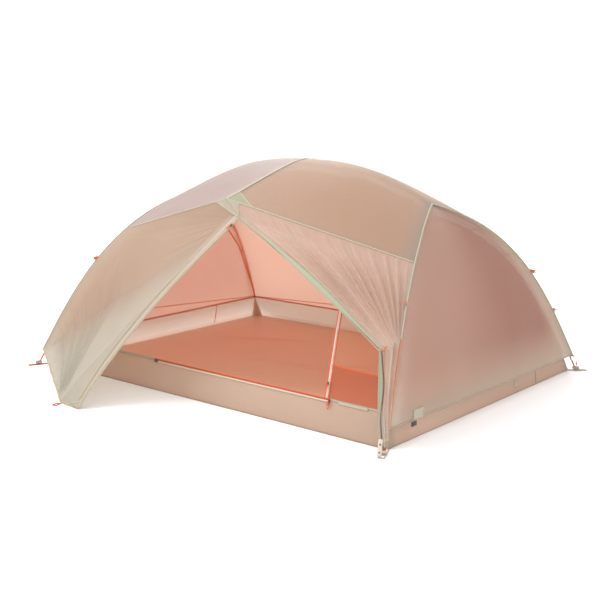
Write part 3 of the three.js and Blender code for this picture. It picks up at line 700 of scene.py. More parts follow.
def weld(piece, distance=1e-5):
    """Joins the points of a pinched corner and drops the faces that it leaves flat."""
    bm = bmesh.new()
    bm.from_mesh(piece.data)
    bmesh.ops.remove_doubles(bm, verts=bm.verts, dist=distance)
    bmesh.ops.dissolve_degenerate(bm, edges=bm.edges, dist=distance)
    bm.to_mesh(piece.data)
    bm.free()


class Sheet:
    """A grid of points on a surface, with its outward normals."""

    def __init__(self, surface, across, along, relief=None, push=None):
        self.u, self.v = np.meshgrid(np.linspace(0, 1, across + 1), np.linspace(0, 1, along + 1))
        base = surface(self.u, self.v)
        self.base = base
        self.normal = self.normals(base)
        facing = (self.normal * (base - MIDDLE)).sum(-1).mean()
        self.facing = 1.0 if facing > 0 else -1.0
        self.normal = self.normal * self.facing
        self.points = base
        if relief is not None:
            direction = self.normal if push is None else push
            self.points = base + direction * relief(self.u, self.v, base)[..., None]

    @staticmethod
    def normals(points):
        du = np.gradient(points, axis=1)
        dv = np.gradient(points, axis=0)
        n = np.cross(du, dv)
        length = np.linalg.norm(n, axis=-1, keepdims=True)
        weak = length[..., 0] < 1e-9
        n = unit(n)
        if weak.any():
            rows = np.where(weak.all(axis=1))[0]
            for row in rows:
                n[row] = n[row + 1 if row == 0 else row - 1]
        return n

    def lengths(self):
        widths = np.linalg.norm(np.diff(self.points, axis=1), axis=-1).sum(1)
        heights = np.linalg.norm(np.diff(self.points, axis=0), axis=-1).sum(0)
        return float(widths.max()), float(heights.max())

    def area(self):
        a, b = self.points[:-1, :-1], self.points[:-1, 1:]
        c, d = self.points[1:, 1:], self.points[1:, :-1]
        return float(0.5 * np.linalg.norm(np.cross(c - a, d - b), axis=-1).sum())

    def uvs(self):
        width, height = self.lengths()
        return np.stack([self.u * width, self.v * height], -1).reshape(-1, 2)

    def shares(self):
        return np.stack([self.u, self.v], -1).reshape(-1, 2)

    def edge(self, side):
        """The points, outward normals and inward neighbours along one edge."""
        row = {"bottom": (0, 1), "top": (-1, -2)}.get(side)
        if row:
            return self.points[row[0]], self.normal[row[0]], self.points[row[1]]
        column = {"left": (0, 1), "right": (-1, -2)}[side]
        return self.points[:, column[0]], self.normal[:, column[0]], self.points[:, column[1]]

    def faces(self):
        rows, columns = self.points.shape[:2]
        index = np.arange(rows * columns).reshape(rows, columns)
        quads = np.stack([index[:-1, :-1], index[:-1, 1:], index[1:, 1:], index[1:, :-1]], -1).reshape(-1, 4)
        return quads if self.facing > 0 else quads[:, ::-1]


def build_cloth(name, sheets, materials, slots=None):
    """One mesh from one or more grids, welded where they meet; slots names the material of each grid."""
    vertices, faces, uvs, panel, indices, offset = [], [], [], [], [], 0
    for number, s in enumerate(sheets):
        vertices.append(s.points.reshape(-1, 3))
        faces.append(s.faces() + offset)
        uvs.append(s.uvs())
        panel.append(s.shares())
        indices += [slots[number] if slots else 0] * len(faces[-1])
        offset += len(vertices[-1])
    piece = add_object(name, np.concatenate(vertices), np.concatenate(faces), materials,
                       np.concatenate(uvs), indices, panel=np.concatenate(panel))
    weld(piece)
    return piece


SLIM_SHARE = 0.31


def cut_size(sheets):
    """The rectangle a piece was cut from and its own area, as modelled. A slim triangle lies along its
    longest side."""
    width = max(s.lengths()[0] for s in sheets)
    length = max(s.lengths()[1] for s in sheets)
    area = sum(s.area() for s in sheets)
    if area < SLIM_SHARE * width * length:
        longest = max(width, length)
        width, length = 2 * area / longest, longest
    return (width, length), area


def cloth(name, sheets, material, slot, body, held, rests_on, nodes=()):
    """One piece of cloth made of one or more grids, in place of the CAD nodes it hides, on its body."""
    sheets = sheets if isinstance(sheets, (list, tuple)) else [sheets]
    piece = build_cloth(name, sheets, [material])
    flat, area = cut_size(sheets)
    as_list(rests_on)
    if nodes:
        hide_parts(*nodes)
    if body:
        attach(piece, body)
    return piece


def fixed(piece, body):
    """Attaches the piece to the body it rides on; a piece given FOLD has its placement baked into its mesh."""
    if body == FOLD:
        on_flap(piece)
    elif body:
        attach(piece, body)
    return piece


def running(points):
    return np.concatenate([[0], np.cumsum(np.linalg.norm(np.diff(points, axis=0), axis=1))])


def ribbon(name, points, outward, width, thickness, material, body, lift=0.0, shift=0.0, inside=None):
    """A flat tape along a line on a surface: a closed strip, slightly crowned. shift moves it sideways,
    towards the points in inside if they are given. width can change along the line."""
    points, outward = np.asarray(points, float), np.asarray(outward, float)
    tangent = unit(np.gradient(points, axis=0))
    side = unit(np.cross(outward, tangent))
    up = unit(np.cross(tangent, side))
    if inside is not None and (side * (inside - points)).sum() < 0:
        side = -side
    width = np.broadcast_to(width, len(points))[:, None]
    shift = np.broadcast_to(shift, len(points))[:, None]
    run = running(points)
    shape = [(-0.5, 0), (-0.46, 0.8), (0, 1), (0.46, 0.8), (0.5, 0), (0, -0.05)]
    vertices, uvs = [], []
    for s, h in shape:
        vertices.append(points + side * (s * width + shift) + up * (h * thickness + lift))
        uvs.append(np.stack([run, np.full(len(run), s + 0.5)], -1))
    return swept(name, np.stack(vertices, 1), np.stack(uvs, 1), material, body)


def swept(name, rings, uvs, material, body, closed=False):
    """Skins rows of ring points into one closed body."""
    count, sides = rings.shape[:2]
    index = np.arange(count * sides).reshape(count, sides)
    ahead = np.roll(index, -1, axis=0) if closed else index[1:]
    here = index if closed else index[:-1]
    quads = np.stack([here, np.roll(here, -1, axis=1), np.roll(ahead, -1, axis=1), ahead], -1).reshape(-1, 4)
    faces = quads.tolist()
    if not closed:
        faces.append(index[0][::-1].tolist())
        faces.append(index[-1].tolist())
    piece = add_object(name, rings.reshape(-1, 3), faces, [material], uvs.reshape(-1, 2))
    outward_faces(piece)
    return fixed(piece, body)


def tape(name, sheet, side, width, material, body, span=(0, 1), thickness=0.0012, lift=0.0015,
         shift=0.0):
    """A ribbon along one edge of a sheet, shifted into the panel."""
    points, outward, inside = sheet.edge(side)
    count = len(points)
    cut = slice(int(span[0] * (count - 1)), int(span[1] * (count - 1)) + 1)
    places = np.linspace(0, 1, count)[cut]
    width = width(places) if callable(width) else width
    shift = shift(places) if callable(shift) else shift
    return ribbon(name, points[cut], outward[cut], width, thickness, material, body, lift, shift,
                  inside[cut])


def outward_faces(piece):
    bm = bmesh.new()
    bm.from_mesh(piece.data)
    bmesh.ops.recalc_face_normals(bm, faces=bm.faces)
    bm.to_mesh(piece.data)
    bm.free()


def tube(name, points, radius, material, body, sides=12, closed=False):
    """A round cord or rod along a line. radius can change along it."""
    points = np.asarray(points, float)
    tangent = np.roll(points, -1, 0) - np.roll(points, 1, 0) if closed else np.gradient(points, axis=0)
    tangent = unit(tangent)
    spread = np.ptp(points, axis=0)
    reference = np.zeros(3)
    reference[int(np.argmin(spread if closed else np.abs(tangent).mean(0)))] = 1
    side = unit(np.cross(tangent, reference))
    up = np.cross(side, tangent)
    radii = np.broadcast_to(radius, len(points))[:, None]
    run = running(points)
    angles = 2 * math.pi * np.arange(sides) / sides
    rings = np.stack([points + (side * math.cos(a) + up * math.sin(a)) * radii for a in angles], 1)
    uvs = np.stack([np.stack([run, np.full(len(run), a / 2 / math.pi)], -1) for a in angles], 1)
    return swept(name, rings, uvs, material, body, closed)


def join(name, pieces):
    """Joins finished meshes into one piece, each part keeping its own material."""
    bm = bmesh.new()
    materials = []
    for piece in pieces:
        start = len(bm.faces)
        bm.from_mesh(piece.data)
        material = piece.data.materials[0]
        if material not in materials:
            materials.append(material)
        bm.faces.ensure_lookup_table()
        for face in bm.faces[start:]:
            face.material_index = materials.index(material)
    mesh = bpy.data.meshes.new(name)
    bm.to_mesh(mesh)
    bm.free()
    for material in materials:
        mesh.materials.append(material)
    joined = bpy.data.objects.new(name, mesh)
    bpy.context.collection.objects.link(joined)
    for piece in pieces:
        bpy.data.objects.remove(piece)
    return joined


def block(name, centre, axes, size, material, bevel=0.002, segments=3, taper=1.0):
    """A moulded block with rounded edges, on its own axes (rows: along, across, up). taper narrows its far
    end."""
    bm = bmesh.new()
    bmesh.ops.create_cube(bm, size=1.0)
    for v in bm.verts:
        if v.co.x > 0:
            v.co.y *= taper
    bmesh.ops.scale(bm, vec=Vector(size), verts=bm.verts)
    bmesh.ops.bevel(bm, geom=bm.edges[:], offset=bevel, segments=segments, profile=0.6, affect="EDGES")
    turn = np.stack([unit(vec(*a)) for a in axes], 1)
    for v in bm.verts:
        v.co = Vector(turn @ np.array(v.co) + np.asarray(centre))
    mesh = bpy.data.meshes.new(name)
    bm.to_mesh(mesh)
    bm.free()
    mesh.materials.append(material)
    mesh.polygons.foreach_set("use_smooth", np.full(len(mesh.polygons), True))
    piece = bpy.data.objects.new(name, mesh)
    bpy.context.collection.objects.link(piece)
    return piece


def square_axes(along, outward):
    """Three square axes from a direction and an outward one."""
    along = unit(np.asarray(along, float))
    outward = np.asarray(outward, float)
    outward = unit(outward - along * (outward @ along))
    return along, np.cross(outward, along), outward


def smoothstep(x, a, b):
    t = np.clip((x - a) / (b - a), 0, 1)
    return t * t * (3 - 2 * t)


# ---------------------------------------------------------------- relief: how the cloth creases


def waves(t, pitches, seed):
    """A sum of sines with fixed, uneven phases: the same each run."""
    phases = np.random.default_rng(seed).uniform(0, 2 * math.pi, len(pitches))
    return sum(np.sin(2 * math.pi * t / p + f) for p, f in zip(pitches, phases)) / len(pitches)


def sharp_waves(t, pitches, seed):
    """Like waves, with sharp crests: the creases of cloth under tension."""
    phases = np.random.default_rng(seed).uniform(0, math.pi, len(pitches))
    return sum(0.64 - np.abs(np.sin(math.pi * t / p + f)) for p, f in zip(pitches, phases)) / len(pitches)


def fan(points, origin, toward, outward, folds, seed, near, far, spread):
    """Folds that run out from a point, strongest between near and far, within spread radians of a
    direction."""
    e1 = unit(toward)
    e2 = unit(np.cross(outward, e1))
    d = points - origin
    x, y = d @ e1, d @ e2
    reach = np.hypot(x, y)
    angle = np.arctan2(y, x)
    profile = sharp_waves(angle, [2 * spread / k for k in folds], seed)
    along = smoothstep(reach, near * 0.2, near) * (1 - smoothstep(reach, near, far))
    within = 1 - smoothstep(np.abs(angle), spread * 0.6, spread)
    return profile * along * within


def gathers(t, distance, pitch, reach, seed):
    """Small puckers along a seam, dying away from it."""
    return waves(t, [pitch, pitch * 1.37, pitch * 0.73], seed) * np.exp(-((distance / reach) ** 2))


def roof_relief(u, v, p):
    seam = np.minimum(v, 1 - v)
    run = p[..., 0]
    puckers = 0.0022 * gathers(run, seam * 1.2, 0.045, 0.05, 3)
    brow = 0.0018 * gathers(p[..., 1], u * 0.8, 0.05, 0.04, 4)
    middle = np.sin(math.pi * u) * np.sin(2 * math.pi * v) ** 2
    broad = 0.004 * waves(p[..., 0] + 0.6 * p[..., 1], [0.42, 0.61], 5) * middle
    edge = smoothstep(u, 0, 0.04) * smoothstep(1 - u, 0, 0.04) * smoothstep(seam, 0, 0.02)
    return (puckers + brow + broad) * edge


def end_relief(u, v, p):
    side = np.minimum(u, 1 - u)
    puckers = 0.002 * gathers(p[..., 2], side * 1.6, 0.05, 0.05, 6)
    hem = 0.003 * waves(p[..., 1], [0.16, 0.23], 7) * np.exp(-((v / 0.12) ** 2))
    broad = 0.006 * waves(p[..., 1] * (1.2 - v), [0.38, 0.52], 8) * np.sin(math.pi * u) * (1 - v)
    return (puckers + hem * 0.6 + broad) * smoothstep(side, 0, 0.03)


def side_relief(u, v, p):
    middle = np.sin(math.pi * u) * np.sin(math.pi * v)
    return 0.006 * waves(p[..., 0] + 0.3 * p[..., 2], [0.21, 0.33], 9) * middle


def inner_relief(u, v, p):
    middle = np.sin(math.pi * u) * np.sin(math.pi * v)
    return 0.006 * waves(p[..., 0] + p[..., 1] + 0.5 * p[..., 2], [0.19, 0.31], 10) * middle


CREASE_END = vec(-0.310, -1.200, 0.165)

FAN_AIM = FL.leg(0.42) - STAKE_FAR


FOLD_KINK = 0.032


def fold_rounding(p):
    """Fills the shallow valley between the fixed panel and the flap, so that they read as one cloth."""
    along = (p - DOOR_APEX) @ FOLD_LINE
    gap = np.linalg.norm(p - DOOR_APEX - along[..., None] * FOLD_LINE, axis=-1)
    room = np.minimum(along, np.linalg.norm(FL.hem - DOOR_APEX) - along)
    radius = 0.01 + 0.45 * np.clip(room, 0, 0.42)
    return FOLD_KINK * (np.hypot(gap, radius) - gap) * smoothstep(room, 0, 0.25)


def front_folds(p):
    """Folds of the whole left half of the door: they fan up from its two staked corners."""
    stake = 0.021 * fan(p, STAKE_FAR, FAN_AIM, FLAP_OUT, (13, 20), 21, 0.10, 1.15, 0.46)
    corner = 0.006 * fan(p, STAKE_NEAR, DOOR_APEX - STAKE_NEAR, FLAP_OUT, (7, 12), 22, 0.10, 0.75, 0.35)
    toward_leg = FL.fly(0.5) - DOOR_APEX
    apex = 0.005 * fan(p, DOOR_APEX, toward_leg, FLAP_OUT, (7, 11), 23, 0.12, 0.8, 0.5)
    broad = 0.004 * waves(p[..., 0] * 0.8 + p[..., 2] * 0.5, [0.31, 0.47], 25)
    return stake + corner + apex + broad + fold_rounding(p)


def flap_relief(u, v, p):
    hem = 0.003 * waves(u, [0.13, 0.19], 24) * smoothstep(v, 0.85, 1)
    aim = CREASE_END - STAKE_FAR
    t = ((p - STAKE_FAR) @ aim) / (aim @ aim)
    gap = np.linalg.norm(p - STAKE_FAR - t[..., None] * aim, axis=-1)
    ridge = 0.007 * np.exp(-((gap / 0.016) ** 2)) * smoothstep(t, 0, 0.15)
    return (front_folds(p) + hem + ridge) * smoothstep(v, 0, 0.12) * (1 - smoothstep(u, 0.7, 0.88))


def sliver_relief(u, v, p):
    inside = smoothstep(v, 0, 0.12) * smoothstep(u, 0, 0.12)
    return front_folds(p) * inside * (1 - smoothstep(v, 0.93, 1) * 0.5)


PLEATS = 12


def gathered_relief(u, v, p):
    """Pleats from the roof seam down to the tie: shallower as they close up."""
    phase = 2 * math.pi * PLEATS * (u + 0.034 * np.sin(7.0 * u) + 0.012 * np.sin(19 * u + 1))
    soft = 1.3 - 2.2 * np.abs(np.sin(phase / 2)) + 0.35 * np.sin(2 * phase + 0.8)
    soft = soft + 0.5 * waves(u, [0.17, 0.31], 31)
    soft = soft * (0.45 + 0.55 * smoothstep(u, 0.05, 0.4))
    pitch = (1.15 * (1 - v) + 0.03) / PLEATS
    depth = np.minimum(0.0085, 0.2 * pitch) * (0.35 + 0.65 * smoothstep(v, 0.05, 0.4))
    edge = smoothstep(v, 0, 0.06) * smoothstep(1 - u, 0, 0.06) * smoothstep(u, 0, 0.05)
    sag = 0.010 * np.sin(math.pi * u) * np.sin(math.pi * v)
    return soft * depth * edge - sag


# ---------------------------------------------------------------- fly

def on_flap(piece):
    """Bakes a piece's placement into its mesh, for a piece that lies on the flap."""
    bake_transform(piece)
    return piece


ROOF_HEAD = Sheet(roof_half(fly_quadrant(FR), fly_quadrant(BR)), 90, 120, roof_relief)
ROOF_FOOT = Sheet(roof_half(fly_quadrant(FL), fly_quadrant(BL)), 90, 120, roof_relief)
END_HEAD = Sheet(fly_end(FR, BR), 110, 90, end_relief)
END_FOOT = Sheet(fly_end(FL, BL), 110, 90, end_relief)
SLIVER = Sheet(sliver_surface, 150, 150, sliver_relief, FLAP_OUT)
FLAP_SHEET = Sheet(flap_surface, 170, 170, flap_relief, FLAP_OUT)
GATHERED = Sheet(gathered_base, 340, 100, gathered_relief)
BACK_RIGHT = Sheet(back_right_surface, 80, 90, side_relief)
BACK_LEFT = Sheet(back_left_surface, 90, 90, side_relief)

# The cloth below the tie: it hangs from the tie along the leg, in a few soft folds.
BUNDLE_TOP = TIE_POINT + vec(-0.010, -0.010, 0.006)
BUNDLE_LOW = vec(1.174, -0.938, 0.030)
BUNDLE_EDGE = bowed(BUNDLE_TOP, BUNDLE_LOW, vec(-0.006, -0.014, 0.0))
bundle_surface = coons(
    straight(BUNDLE_TOP, mix(TIE_POINT, FR.fly(TIE_LEG_TIME), 0.96)),
    straight(BUNDLE_LOW, FR.fly(FR.hem_time) + vec(0.004, -0.006, -0.030)),
    BUNDLE_EDGE,
    flipped(between(FR.fly, FR.hem_time, TIE_LEG_TIME)),
)


def bundle_relief(u, v, p):
    folds = np.sin(2 * math.pi * (2.6 * u + 0.10 * np.sin(5 * v))) + 0.4 * np.sin(2 * math.pi * 6.3 * u + 1.3)
    return 0.011 * folds * smoothstep(1 - u, 0, 0.12) * (1 - 0.4 * v) + 0.010 * np.sin(math.pi * u)


BUNDLE = Sheet(bundle_surface, 90, 60, bundle_relief)

ROOF_POLES = ["ridge_pole_head", "ridge_pole_foot", "brow_pole_front", "brow_pole_back"]


def leg_poles(*corners):
    return [f"leg_pole_{c}_{part}" for c in corners for part in ("lower", "upper")]


for name, sheet, look, slot, held, rests_on in (
    ("fly_roof_head", ROOF_HEAD, "fly", "fly_fabric", "stretched", ROOF_POLES),
    ("fly_roof_foot", ROOF_FOOT, "fly_foot", "fly_fabric", "stretched", ROOF_POLES),
    ("fly_end_head", END_HEAD, "fly_end", "fly_end_fabric", "stretched",
     leg_poles("front_right", "back_right")),
    ("fly_end_foot", END_FOOT, "fly_end", "fly_end_fabric", "stretched",
     leg_poles("front_left", "back_left")),
    ("vestibule_front_fixed", SLIVER, "sliver", "fly_fabric", "stretched", leg_poles("front_left")),
    ("vestibule_gathered", GATHERED, "gathered", "fly_fabric", "gathered", leg_poles("front_right")),
    ("vestibule_bundle", BUNDLE, "gathered", "fly_fabric", "gathered", leg_poles("front_right")),
    ("vestibule_back_right", BACK_RIGHT, "back", "fly_fabric", "stretched", leg_poles("back_right")),
    ("vestibule_back_left", BACK_LEFT, "back", "fly_fabric", "stretched", leg_poles("back_left")),
    ("vestibule_flap", FLAP_SHEET, "flap", "fly_fabric", "stretched", leg_poles("front_left")),
):
    body = None if name == "vestibule_flap" else ROOT
    piece = cloth(f"{name}_cloth", sheet, M[look], slot, body, held, rests_on, [name])
    if body is None:
        on_flap(piece)

# ---------------------------------------------------------------- fly: seams, hems, zips and patches

for name, corner, sheet, side in (
    ("front_right", FR, END_HEAD, "left"),
    ("back_right", BR, END_HEAD, "right"),
    ("front_left", FL, END_FOOT, "left"),
    ("back_left", BL, END_FOOT, "right"),
):
    tape(f"leg_seam_{name}", sheet, side, 0.008, M["seam_green"], ROOT, shift=0.004, lift=0.002)
    points, outward, _ = sheet.edge(side)
    tube(f"leg_piping_{name}", points + outward * 0.003, 0.0017, M["cream"], ROOT, sides=8)

ribbon("brow_seam", ROOF_HEAD.points[:, 0], ROOF_HEAD.normal[:, 0], 0.016, 0.0012, M["seam"],
       ROOT, 0.002)
for name, sheet, side in (
    ("front_right", ROOF_HEAD, "bottom"),
    ("back_right", ROOF_HEAD, "top"),
    ("front_left", ROOF_FOOT, "bottom"),
    ("back_left", ROOF_FOOT, "top"),
):
    tape(f"roof_seam_{name}", sheet, side, 0.007, M["seam_green"], ROOT, lift=0.002,
         shift=0.002)
for name, sheet, side, body in (
    ("end_head", END_HEAD, "bottom", ROOT),
    ("end_foot", END_FOOT, "bottom", ROOT),
    ("back_right", BACK_RIGHT, "top", ROOT),
    ("back_left", BACK_LEFT, "top", ROOT),
    ("flap", FLAP_SHEET, "top", FOLD),
):
    tape(f"hem_{name}", sheet, side, 0.010, M["hem"], body, shift=0.005, lift=0.001)

# The flap's zip edge: a cream binding outside, a pinkish facing and a pale band inside it.


def facing_width(t):
    return 0.028 + 0.022 * np.exp(-((t / 0.16) ** 2)) - 0.014 * smoothstep(t, 0.75, 1)


tape("flap_facing", FLAP_SHEET, "right", facing_width, M["facing"], FOLD, thickness=0.001,
     lift=0.0015, shift=lambda t: 0.004 + facing_width(t) / 2)
tape("flap_zip_tape", FLAP_SHEET, "right", 0.008, M["zip_muted"], FOLD, thickness=0.0022,
     lift=0.002, shift=0.005)
for number, gap in enumerate((0.005, 0.014)):
    tape(f"flap_band_{number}", FLAP_SHEET, "right", 0.005, M["band"], FOLD, span=(0.02, 1),
         thickness=0.0016, lift=0.0015, shift=lambda t, gap=gap: 0.004 + gap + facing_width(t))
zip_points = FLAP_SHEET.edge("right")[0]
tube("flap_edge_piping", zip_points, 0.0028, M["band"], FOLD, sides=8)

# The gathered half's zip edge: a green storm flap with the zip beside it, and the same down the bundle.
tape("gathered_storm_flap", GATHERED, "left", lambda t: 0.007 + 0.028 * np.exp(-(((t - 0.62) / 0.24) ** 2)),
     M["green"], ROOT, span=(0.08, 1), thickness=0.002, lift=0.004, shift=-0.004)
tape("gathered_zip", GATHERED, "left", 0.006, M["zip_muted"], ROOT, span=(0.1, 1),
     thickness=0.0024, lift=-0.004, shift=-0.010)
tape("gathered_edge_seam", GATHERED, "left", 0.004, M["band"], ROOT, span=(0.04, 1),
     thickness=0.0015, lift=0.003, shift=0.018)


def bundle_flap_width(t):
    return 0.008 + 0.024 * np.exp(-(((t - 0.36) / 0.26) ** 2))


tape("bundle_storm_flap", BUNDLE, "left", bundle_flap_width, M["green"], ROOT,
     thickness=0.002, lift=0.004, shift=lambda t: bundle_flap_width(t) / 2 - 0.002)
tape("bundle_zip", BUNDLE, "left", 0.005, M["zip_dark"], ROOT, thickness=0.0024, lift=0.0065,
     shift=lambda t: bundle_flap_width(t) * 0.8)
tape("bundle_leg_piping", BUNDLE, "right", 0.011, M["salmon"], ROOT, thickness=0.002,
     lift=0.004)
tape("bundle_reflector", BUNDLE, "left", 0.012, M["reflective"], ROOT, span=(0.74, 0.86),
     thickness=0.0012, lift=0.013, shift=0.018)

# The back vestibule's closed zip, its storm flap and the facing beside it.
tape("back_storm_flap", BACK_RIGHT, "right", 0.034, M["green"], ROOT, thickness=0.002,
     lift=0.003, shift=0.010)
tape("back_zip", BACK_LEFT, "left", 0.009, M["zip_dark"], ROOT, thickness=0.0024, lift=0.002,
     shift=0.006)
tape("back_zip_facing", BACK_LEFT, "left", 0.020, M["pink"], ROOT, thickness=0.001, lift=0.0015,
     shift=0.021)


def corner_patch(name, surface, relief, corner, reach, material, body, lift=0.0022):
    """A doubled triangle of cloth in a panel's corner, a little above the panel."""
    cu, cv = corner
    ru, rv = reach

    def place(a, b):
        return np.abs(cu - ru * a * (1 - b)), np.abs(cv - rv * b)

    patch = Sheet(lambda a, b: surface(*place(a, b)), 20, 20)
    u, v = place(patch.u, patch.v)
    height = relief(u, v, patch.base) if relief else np.zeros_like(u)
    patch.points = patch.base + patch.normal * (lift + height)[..., None]
    rim = patch.points[:, -1]
    piece = build_cloth(name, [patch], [material])
    fixed(piece, body)
    stitch = ribbon(f"{name}_edge", rim, patch.normal[:, -1], 0.004, 0.0008, M["cream"], body, 0.0004)
    return piece, stitch


for name, surface, relief, corner, reach, look, body in (
    ("front_head", fly_quadrant(FR), None, (0, 0), (0.15, 0.15), "green_cloth", ROOT),
    ("front_foot", fly_quadrant(FL), None, (0, 0), (0.07, 0.05), "pale_cloth", ROOT),
    ("back_head", fly_quadrant(BR), None, (0, 0), (0.15, 0.15), "green_cloth", ROOT),
    ("back_foot", fly_quadrant(BL), None, (0, 0), (0.15, 0.15), "green_cloth", ROOT),
    ("front_fixed", sliver_surface, None, (1, 0), (0.08, 0.10), "pale_cloth", ROOT),
    ("front_gathered", gathered_base, None, (0, 0), (0.07, 0.09), "pale_cloth", ROOT),
    ("flap_stake", flap_surface, flap_relief, (1, 1), (0.13, 0.04), "green_cloth", FOLD),
):
    corner_patch(f"patch_{name}", surface, relief, corner, reach, M[look], body)

# ---------------------------------------------------------------- bathtub floor


FLOOR_ACROSS, FLOOR_ALONG = 210, 160


def tub_wall(a, b, bulge_seed):
    """One wall of the tub from floor corner a to floor corner b, leaning in."""
    lean = vec(TUB_LEAN_X, TUB_LEAN_Y, 0)

    def top(corner):
        return corner - np.sign(corner) * lean + vec(0, 0, TUB_HEIGHT)

    surface = coons(straight(a, b), straight(top(a), top(b)), straight(a, top(a)), straight(b, top(b)))

    def relief(u, v, p):
        run = np.linalg.norm(b - a) * u
        ripple = 0.0020 * waves(run + 0.12 * v, [0.17, 0.26, 0.41], bulge_seed)
        ends = smoothstep(np.minimum(u, 1 - u), 0, 0.04)
        return (0.004 * np.sin(math.pi * v) + ripple * np.sin(math.pi * v) ** 0.7) * ends

    return Sheet(surface, FLOOR_ACROSS if a[1] == b[1] else FLOOR_ALONG, 14, relief)


def crease(p, a, b, width, height):
    """A soft ridge along a line on the floor."""
    a, b = np.asarray(a), np.asarray(b)
    d = b - a
    t = np.clip(((p[..., :2] - a) @ d) / (d @ d), 0, 1)
    gap = np.linalg.norm(p[..., :2] - a - t[..., None] * d, axis=-1)
    return height * np.exp(-((gap / width) ** 2)) * np.sin(math.pi * np.clip(t, 0.02, 0.98)) ** 0.5


FLOOR_CREASES = (
    ((-0.75, -0.55), (0.05, -0.25)),
    ((-0.20, -0.55), (0.60, -0.42)),
    ((0.10, 0.10), (0.80, 0.45)),
    ((-0.90, 0.20), (-0.30, 0.50)),
    ((-0.45, -0.10), (0.35, 0.05)),
    ((0.25, -0.62), (0.70, -0.30)),
    ((0.70, -0.70), (1.05, -0.35)),
)


def floor_relief(u, v, p):
    edge = smoothstep(np.minimum(u, 1 - u), 0, 0.06) * smoothstep(np.minimum(v, 1 - v), 0, 0.06)
    soft = 0.0022 * (1 + waves(p[..., 0] + 0.4 * p[..., 1], [0.33, 0.52], 41))
    soft = soft + 0.0016 * (1 + waves(p[..., 1] - 0.3 * p[..., 0], [0.24, 0.39], 42))
    lines = sum(crease(p, a, b, 0.0095, 0.012) for a, b in FLOOR_CREASES)
    return -(0.6 * soft + lines) * edge


floor_corners = [vec(x * FLOOR_X, y * FLOOR_Y, 0) for x, y in ((-1, -1), (1, -1), (1, 1), (-1, 1))]
floor_sheet = Sheet(
    lambda u, v: np.stack([(2 * u - 1) * FLOOR_X, (2 * v - 1) * FLOOR_Y, np.zeros_like(u)], -1),
    FLOOR_ACROSS, FLOOR_ALONG, floor_relief,
)
wall_sheets = [tub_wall(a, floor_corners[(i + 1) % 4], 50 + i) for i, a in enumerate(floor_corners)]
FRONT_WALL, HEAD_WALL, BACK_WALL, FOOT_WALL = wall_sheets


def with_thickness(piece, thickness, inner_offset):
    """Gives a sheet its thickness inwards; the inner faces take the next materials in the list."""
    thick = piece.modifiers.new("thickness", "SOLIDIFY")
    thick.thickness = thickness
    thick.offset = -1
    thick.use_even_offset = True
    thick.material_offset = inner_offset
    bpy.context.view_layer.update()
    evaluated = piece.evaluated_get(bpy.context.evaluated_depsgraph_get())
    mesh = bpy.data.meshes.new_from_object(evaluated)
    piece.modifiers.clear()
    piece.data = mesh


tub = build_cloth("bathtub_floor_cloth", [floor_sheet] + wall_sheets,
                  [M["tub_out"], M["floor_in"], M["wall_out"], M["wall_in"]], [0, 2, 2, 2, 2])
with_thickness(tub, 0.0014, 1)
tub_area = sum(s.area() for s in [floor_sheet] + wall_sheets)
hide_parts("bathtub_floor")
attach(tub, ROOT)

for name, sheet in (("front", FRONT_WALL), ("head", HEAD_WALL), ("back", BACK_WALL), ("foot", FOOT_WALL)):
    points, outward, inside = sheet.edge("top")
    look = "seam" if name == "front" else "orange_painted_light"
    ribbon(f"tub_rim_binding_{name}", points + vec(0, 0, 0.002), outward, 0.010, 0.003, M[look],
           ROOT, lift=-0.001)
    seam_points = sheet.edge("left")[0]
    ribbon(f"tub_corner_seam_{name}", seam_points + vec(0, 0, 0.001), unit(seam_points * vec(1, 1, 0)),
           0.008, 0.001, M["seam"], ROOT, lift=0.001)

# A doubled triangle on the floor's inside in each corner, running up the wall seam.
for name, (sx, sy) in (("front_right", (1, -1)), ("back_right", (1, 1)), ("back_left", (-1, 1)),
                       ("front_left", (-1, -1))):
    low = vec(sx * (FLOOR_X - 0.006), sy * (FLOOR_Y - 0.006), 0.004)
    high = low - vec(sx * TUB_LEAN_X, sy * TUB_LEAN_Y, -0.132)
    reach_x, reach_y = low - vec(sx * 0.05, 0, -0.001), low - vec(0, sy * 0.05, -0.001)
    halves = []
    for end in (reach_x, reach_y):
        half = Sheet(coons(straight(low, end), straight(high, high), straight(low, high),
                           straight(end, high)), 8, 12,
                     lambda u, v, p: -0.002 * (1 - v) + 0 * u)
        halves.append(half)
    patch = build_cloth(f"tub_corner_patch_{name}", halves, [M["brown_web"]])
    fixed(patch, ROOT)

# ---------------------------------------------------------------- inner tent

DOOR_LEFT, DOOR_RIGHT, DOOR_TOP, SILL_PANEL = 0.2, 0.85, 0.95, 0.19
inner_front = inner_side(FL, FR)


def part_of(surface, u0, u1, v0, v1):
    return lambda u, v: surface(u0 + (u1 - u0) * u, v0 + (v1 - v0) * v)


for name, surface, rests_on in (
    ("inner_wall_head", inner_end(FR, BR), leg_poles("front_right", "back_right")),
    ("inner_wall_foot", inner_end(FL, BL), leg_poles("front_left", "back_left")),
    ("inner_wall_back", inner_side(BL, BR), leg_poles("back_left", "back_right")),
):
    cloth(f"{name}_cloth", Sheet(surface, 80, 60, inner_relief), M["inner"], "inner_fabric", ROOT, "hung",
          rests_on, [name])
for name, front, back in (("head", FR, BR), ("foot", FL, BL)):
    sheet = Sheet(roof_half(inner_quadrant(front), inner_quadrant(back)), 70, 90, inner_relief)
    cloth(f"inner_roof_{name}_cloth", sheet, M["inner"], "inner_fabric", ROOT, "hung", ROOF_POLES,
          [f"inner_roof_{name}"])

